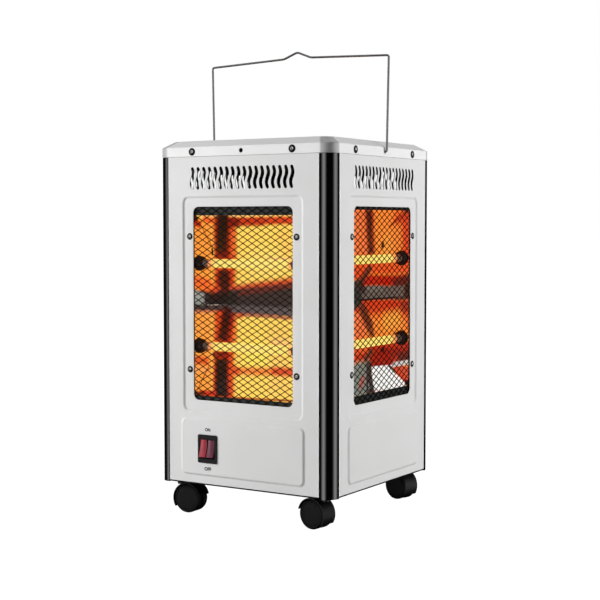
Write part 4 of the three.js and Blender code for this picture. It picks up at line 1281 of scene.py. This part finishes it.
def sweptWire(path, radius):
    # The path lies in the plane y = 0
    shape = newShape()
    angles = [2 * math.pi * k / handle["sides"] for k in range(handle["sides"])]
    rings = []
    for i, point in enumerate(path):
        before, after = Vector(path[max(i - 1, 0)]), Vector(path[min(i + 1, len(path) - 1)])
        along = (after - before).normalized()
        across = Vector((-along.y, along.x))
        rings.append(addLoop(shape, [(point[0] + across.x * radius * math.cos(a), radius * math.sin(a),
                                      point[1] + across.y * radius * math.cos(a)) for a in angles]))
    bridgeAll(shape, rings)
    closeEnds(shape, rings)
    return shape


def handlePath():
    holeZ = cover["holeZ"]
    right = [(handle["hook"], holeZ - handle["hookDrop"]), (handle["hook"], holeZ), (handle["foot"], holeZ),
             (handle["half"], handle["shoulder"]), (handle["bumpHalf"], handle["bumpZ"]), (0, handle["crest"])]
    left = [(-x, z) for x, z in right[:-1]][::-1]
    return softened(right + left, handle["bend"], handle["bendSteps"])


wireMesh = meshFrom("bentWire", sweptWire(handlePath(), handle["radius"]), smooth=50)
place("bentWire", wireMesh, "plating", "handle", ["handle"], "wire")
print("handle bent")


# Each caster trails towards an angle of its own, in degrees after its place
caster = {"trail": 15, "axleZ": 19.75, "wheel": 19.75, "bored": 2.4, "inner": 2.2, "outer": 12.4, "wheelSides": 56}
casterPlaces = {"front_right": (116.5, -116.5, 172), "front_left": (-116.5, -116.5, 3),
                "rear_left": (-116.5, 116.5, 20), "rear_right": (116.5, 116.5, 165)}
hood = {"outside": 22, "inside": 20.9, "half": 12.6, "round": 0.35, "start": 14, "end": 213, "steps": 40,
        "webHalf": 1.6, "webOverlap": 0.4, "webSteps": 32}
hubProfile = [(0, -1.7), (4.5, -1.7), (4.5, 1.7), (0, 1.7)]
bossProfile = [(0, 38.0), (6.5, 38.0), (6.5, 41.9), (6.1, 42.3), (4.2, 42.3), (4.2, 38.6), (0, 38.6)]
axleProfile = [(0, -10), (1.8, -10), (2, -9.8), (2, 9.8), (1.8, 10), (0, 10)]
plateProfile = [(0, 38.1), (3.6, 38.1), (3.6, 42.6), (13.6, 42.6), (14, 42.9), (14, 43.4), (13.6, 43.7), (5, 43.7),
                (5, 51.6), (4.6, 52), (0, 52)]


def onAxle(shape, side=1):
    return moved(shape, shift(caster["trail"], 0, caster["axleZ"]) @ spin(math.pi / 2 * side, "X"))


def hoodShape():
    x, z, start, end = caster["trail"], caster["axleZ"], hood["start"], hood["end"]
    outside, inside, half, rounding = hood["outside"], hood["inside"], hood["half"], hood["round"]
    band = [(outside - rounding, -half), (outside, -half + rounding), (outside, half - rounding),
            (outside - rounding, half), (inside, half), (inside, -half)]
    shell = newShape()
    rings = []
    for step in range(hood["steps"] + 1):
        a = math.radians(start + (end - start) * step / hood["steps"])
        rings.append(addLoop(shell, [(x + r * math.cos(a), y, z + r * math.sin(a)) for r, y in band]))
    bridgeAll(shell, rings)
    closeEnds(shell, rings)
    web = newShape()
    sector = [(x, z)] + arc(x, z, inside + hood["webOverlap"], start, end, hood["webSteps"])
    faces = [addLoop(web, [(px, y, pz) for px, pz in sector]) for y in (-hood["webHalf"], hood["webHalf"])]
    bridgeAll(web, faces)
    closeEnds(web, faces)
    return joined(shell, web, onAxle(turned(hubProfile, 24)), turned(bossProfile))


def wheelShape(side):
    r, bored, low, high = caster["wheel"], caster["bored"], caster["inner"], caster["outer"]
    profile = [(bored, low), (17, low), (r - 1.2, low + 0.3), (r - 0.3, low + 1.2), (r, low + 2.2), (r, high - 3),
               (r - 0.35, high - 1.6), (r - 1.2, high - 0.6), (r - 2.2, high - 0.15), (r - 3, high - 0.3),
               (r - 3.3, high - 0.75), (r - 3.7, high - 0.8), (r - 4.2, high - 0.5), (12, high - 0.25),
               (6, high - 0.05), (0, high), (0, high - 2), (bored, high - 2)]
    inside = [(bored, low), (bored, high - 2)]
    return onAxle(joined(*(turned(points, caster["wheelSides"]) for points in (profile, inside))), -side)


hoodMesh = meshFrom("hood", hoodShape())
axleMesh = meshFrom("axle", onAxle(turned(axleProfile, 20)))
plateMesh = meshFrom("casterPlate", turned(plateProfile))
wheelMeshes = {letter: meshFrom(f"wheel{letter.upper()}", wheelShape(side), smooth=32)
               for letter, side in (("a", -1), ("b", 1))}
for corner, (x, y, trailing) in casterPlaces.items():
    stand = Matrix.Translation(Vector((x, y, 0)) * metre) @ spin(math.radians(trailing))
    swivel = f"{corner}_caster"
    place(f"{corner}_hood", hoodMesh, "casterPlastic", swivel, [f"{swivel}_hood"], "black_plastic", matrix=stand)
    place(f"{corner}_pin", axleMesh, "zinc", swivel, [f"{corner}_axle"], "steel", matrix=stand)
    place(f"{corner}_flange", plateMesh, "blackEnamel", "cabinet", [f"{swivel}_plate"], "steel", matrix=stand)
    for letter, mesh in wheelMeshes.items():
        wheel = f"{corner}_wheel_{letter}"
        place(f"{corner}_roller_{letter}", mesh, "treadPlastic", wheel, [wheel], "black_plastic", matrix=stand)
print("casters on")


glandPlace = (60, 142.1, 95)
glandProfile = [(3.4, -4), (6.6, -4.2), (7.4, -3.6), (8.6, -2.2), (9, -1.4), (9, -0.2), (8.8, 0), (5.9, 0), (5.9, 9),
                (3.4, 9)]
gland = moved(turned(glandProfile, 36, closed=True), shift(*glandPlace) @ lying)
place("cordBush", meshFrom("cordBush", gland), "bezelPlastic", "cabinet", ["cord_gland"], "black_plastic")


def finishNode(node, finish):
    piece = frame["nodes"][node]
    piece.data.materials.clear()
    piece.data.materials.append(finishes[finish])


finishNode("base_tray", "baseEnamel")
finishNode("tip_over_switch", "bezelPlastic")
finishNode("terminal_block", "paleCeramic")
print("small parts finished")
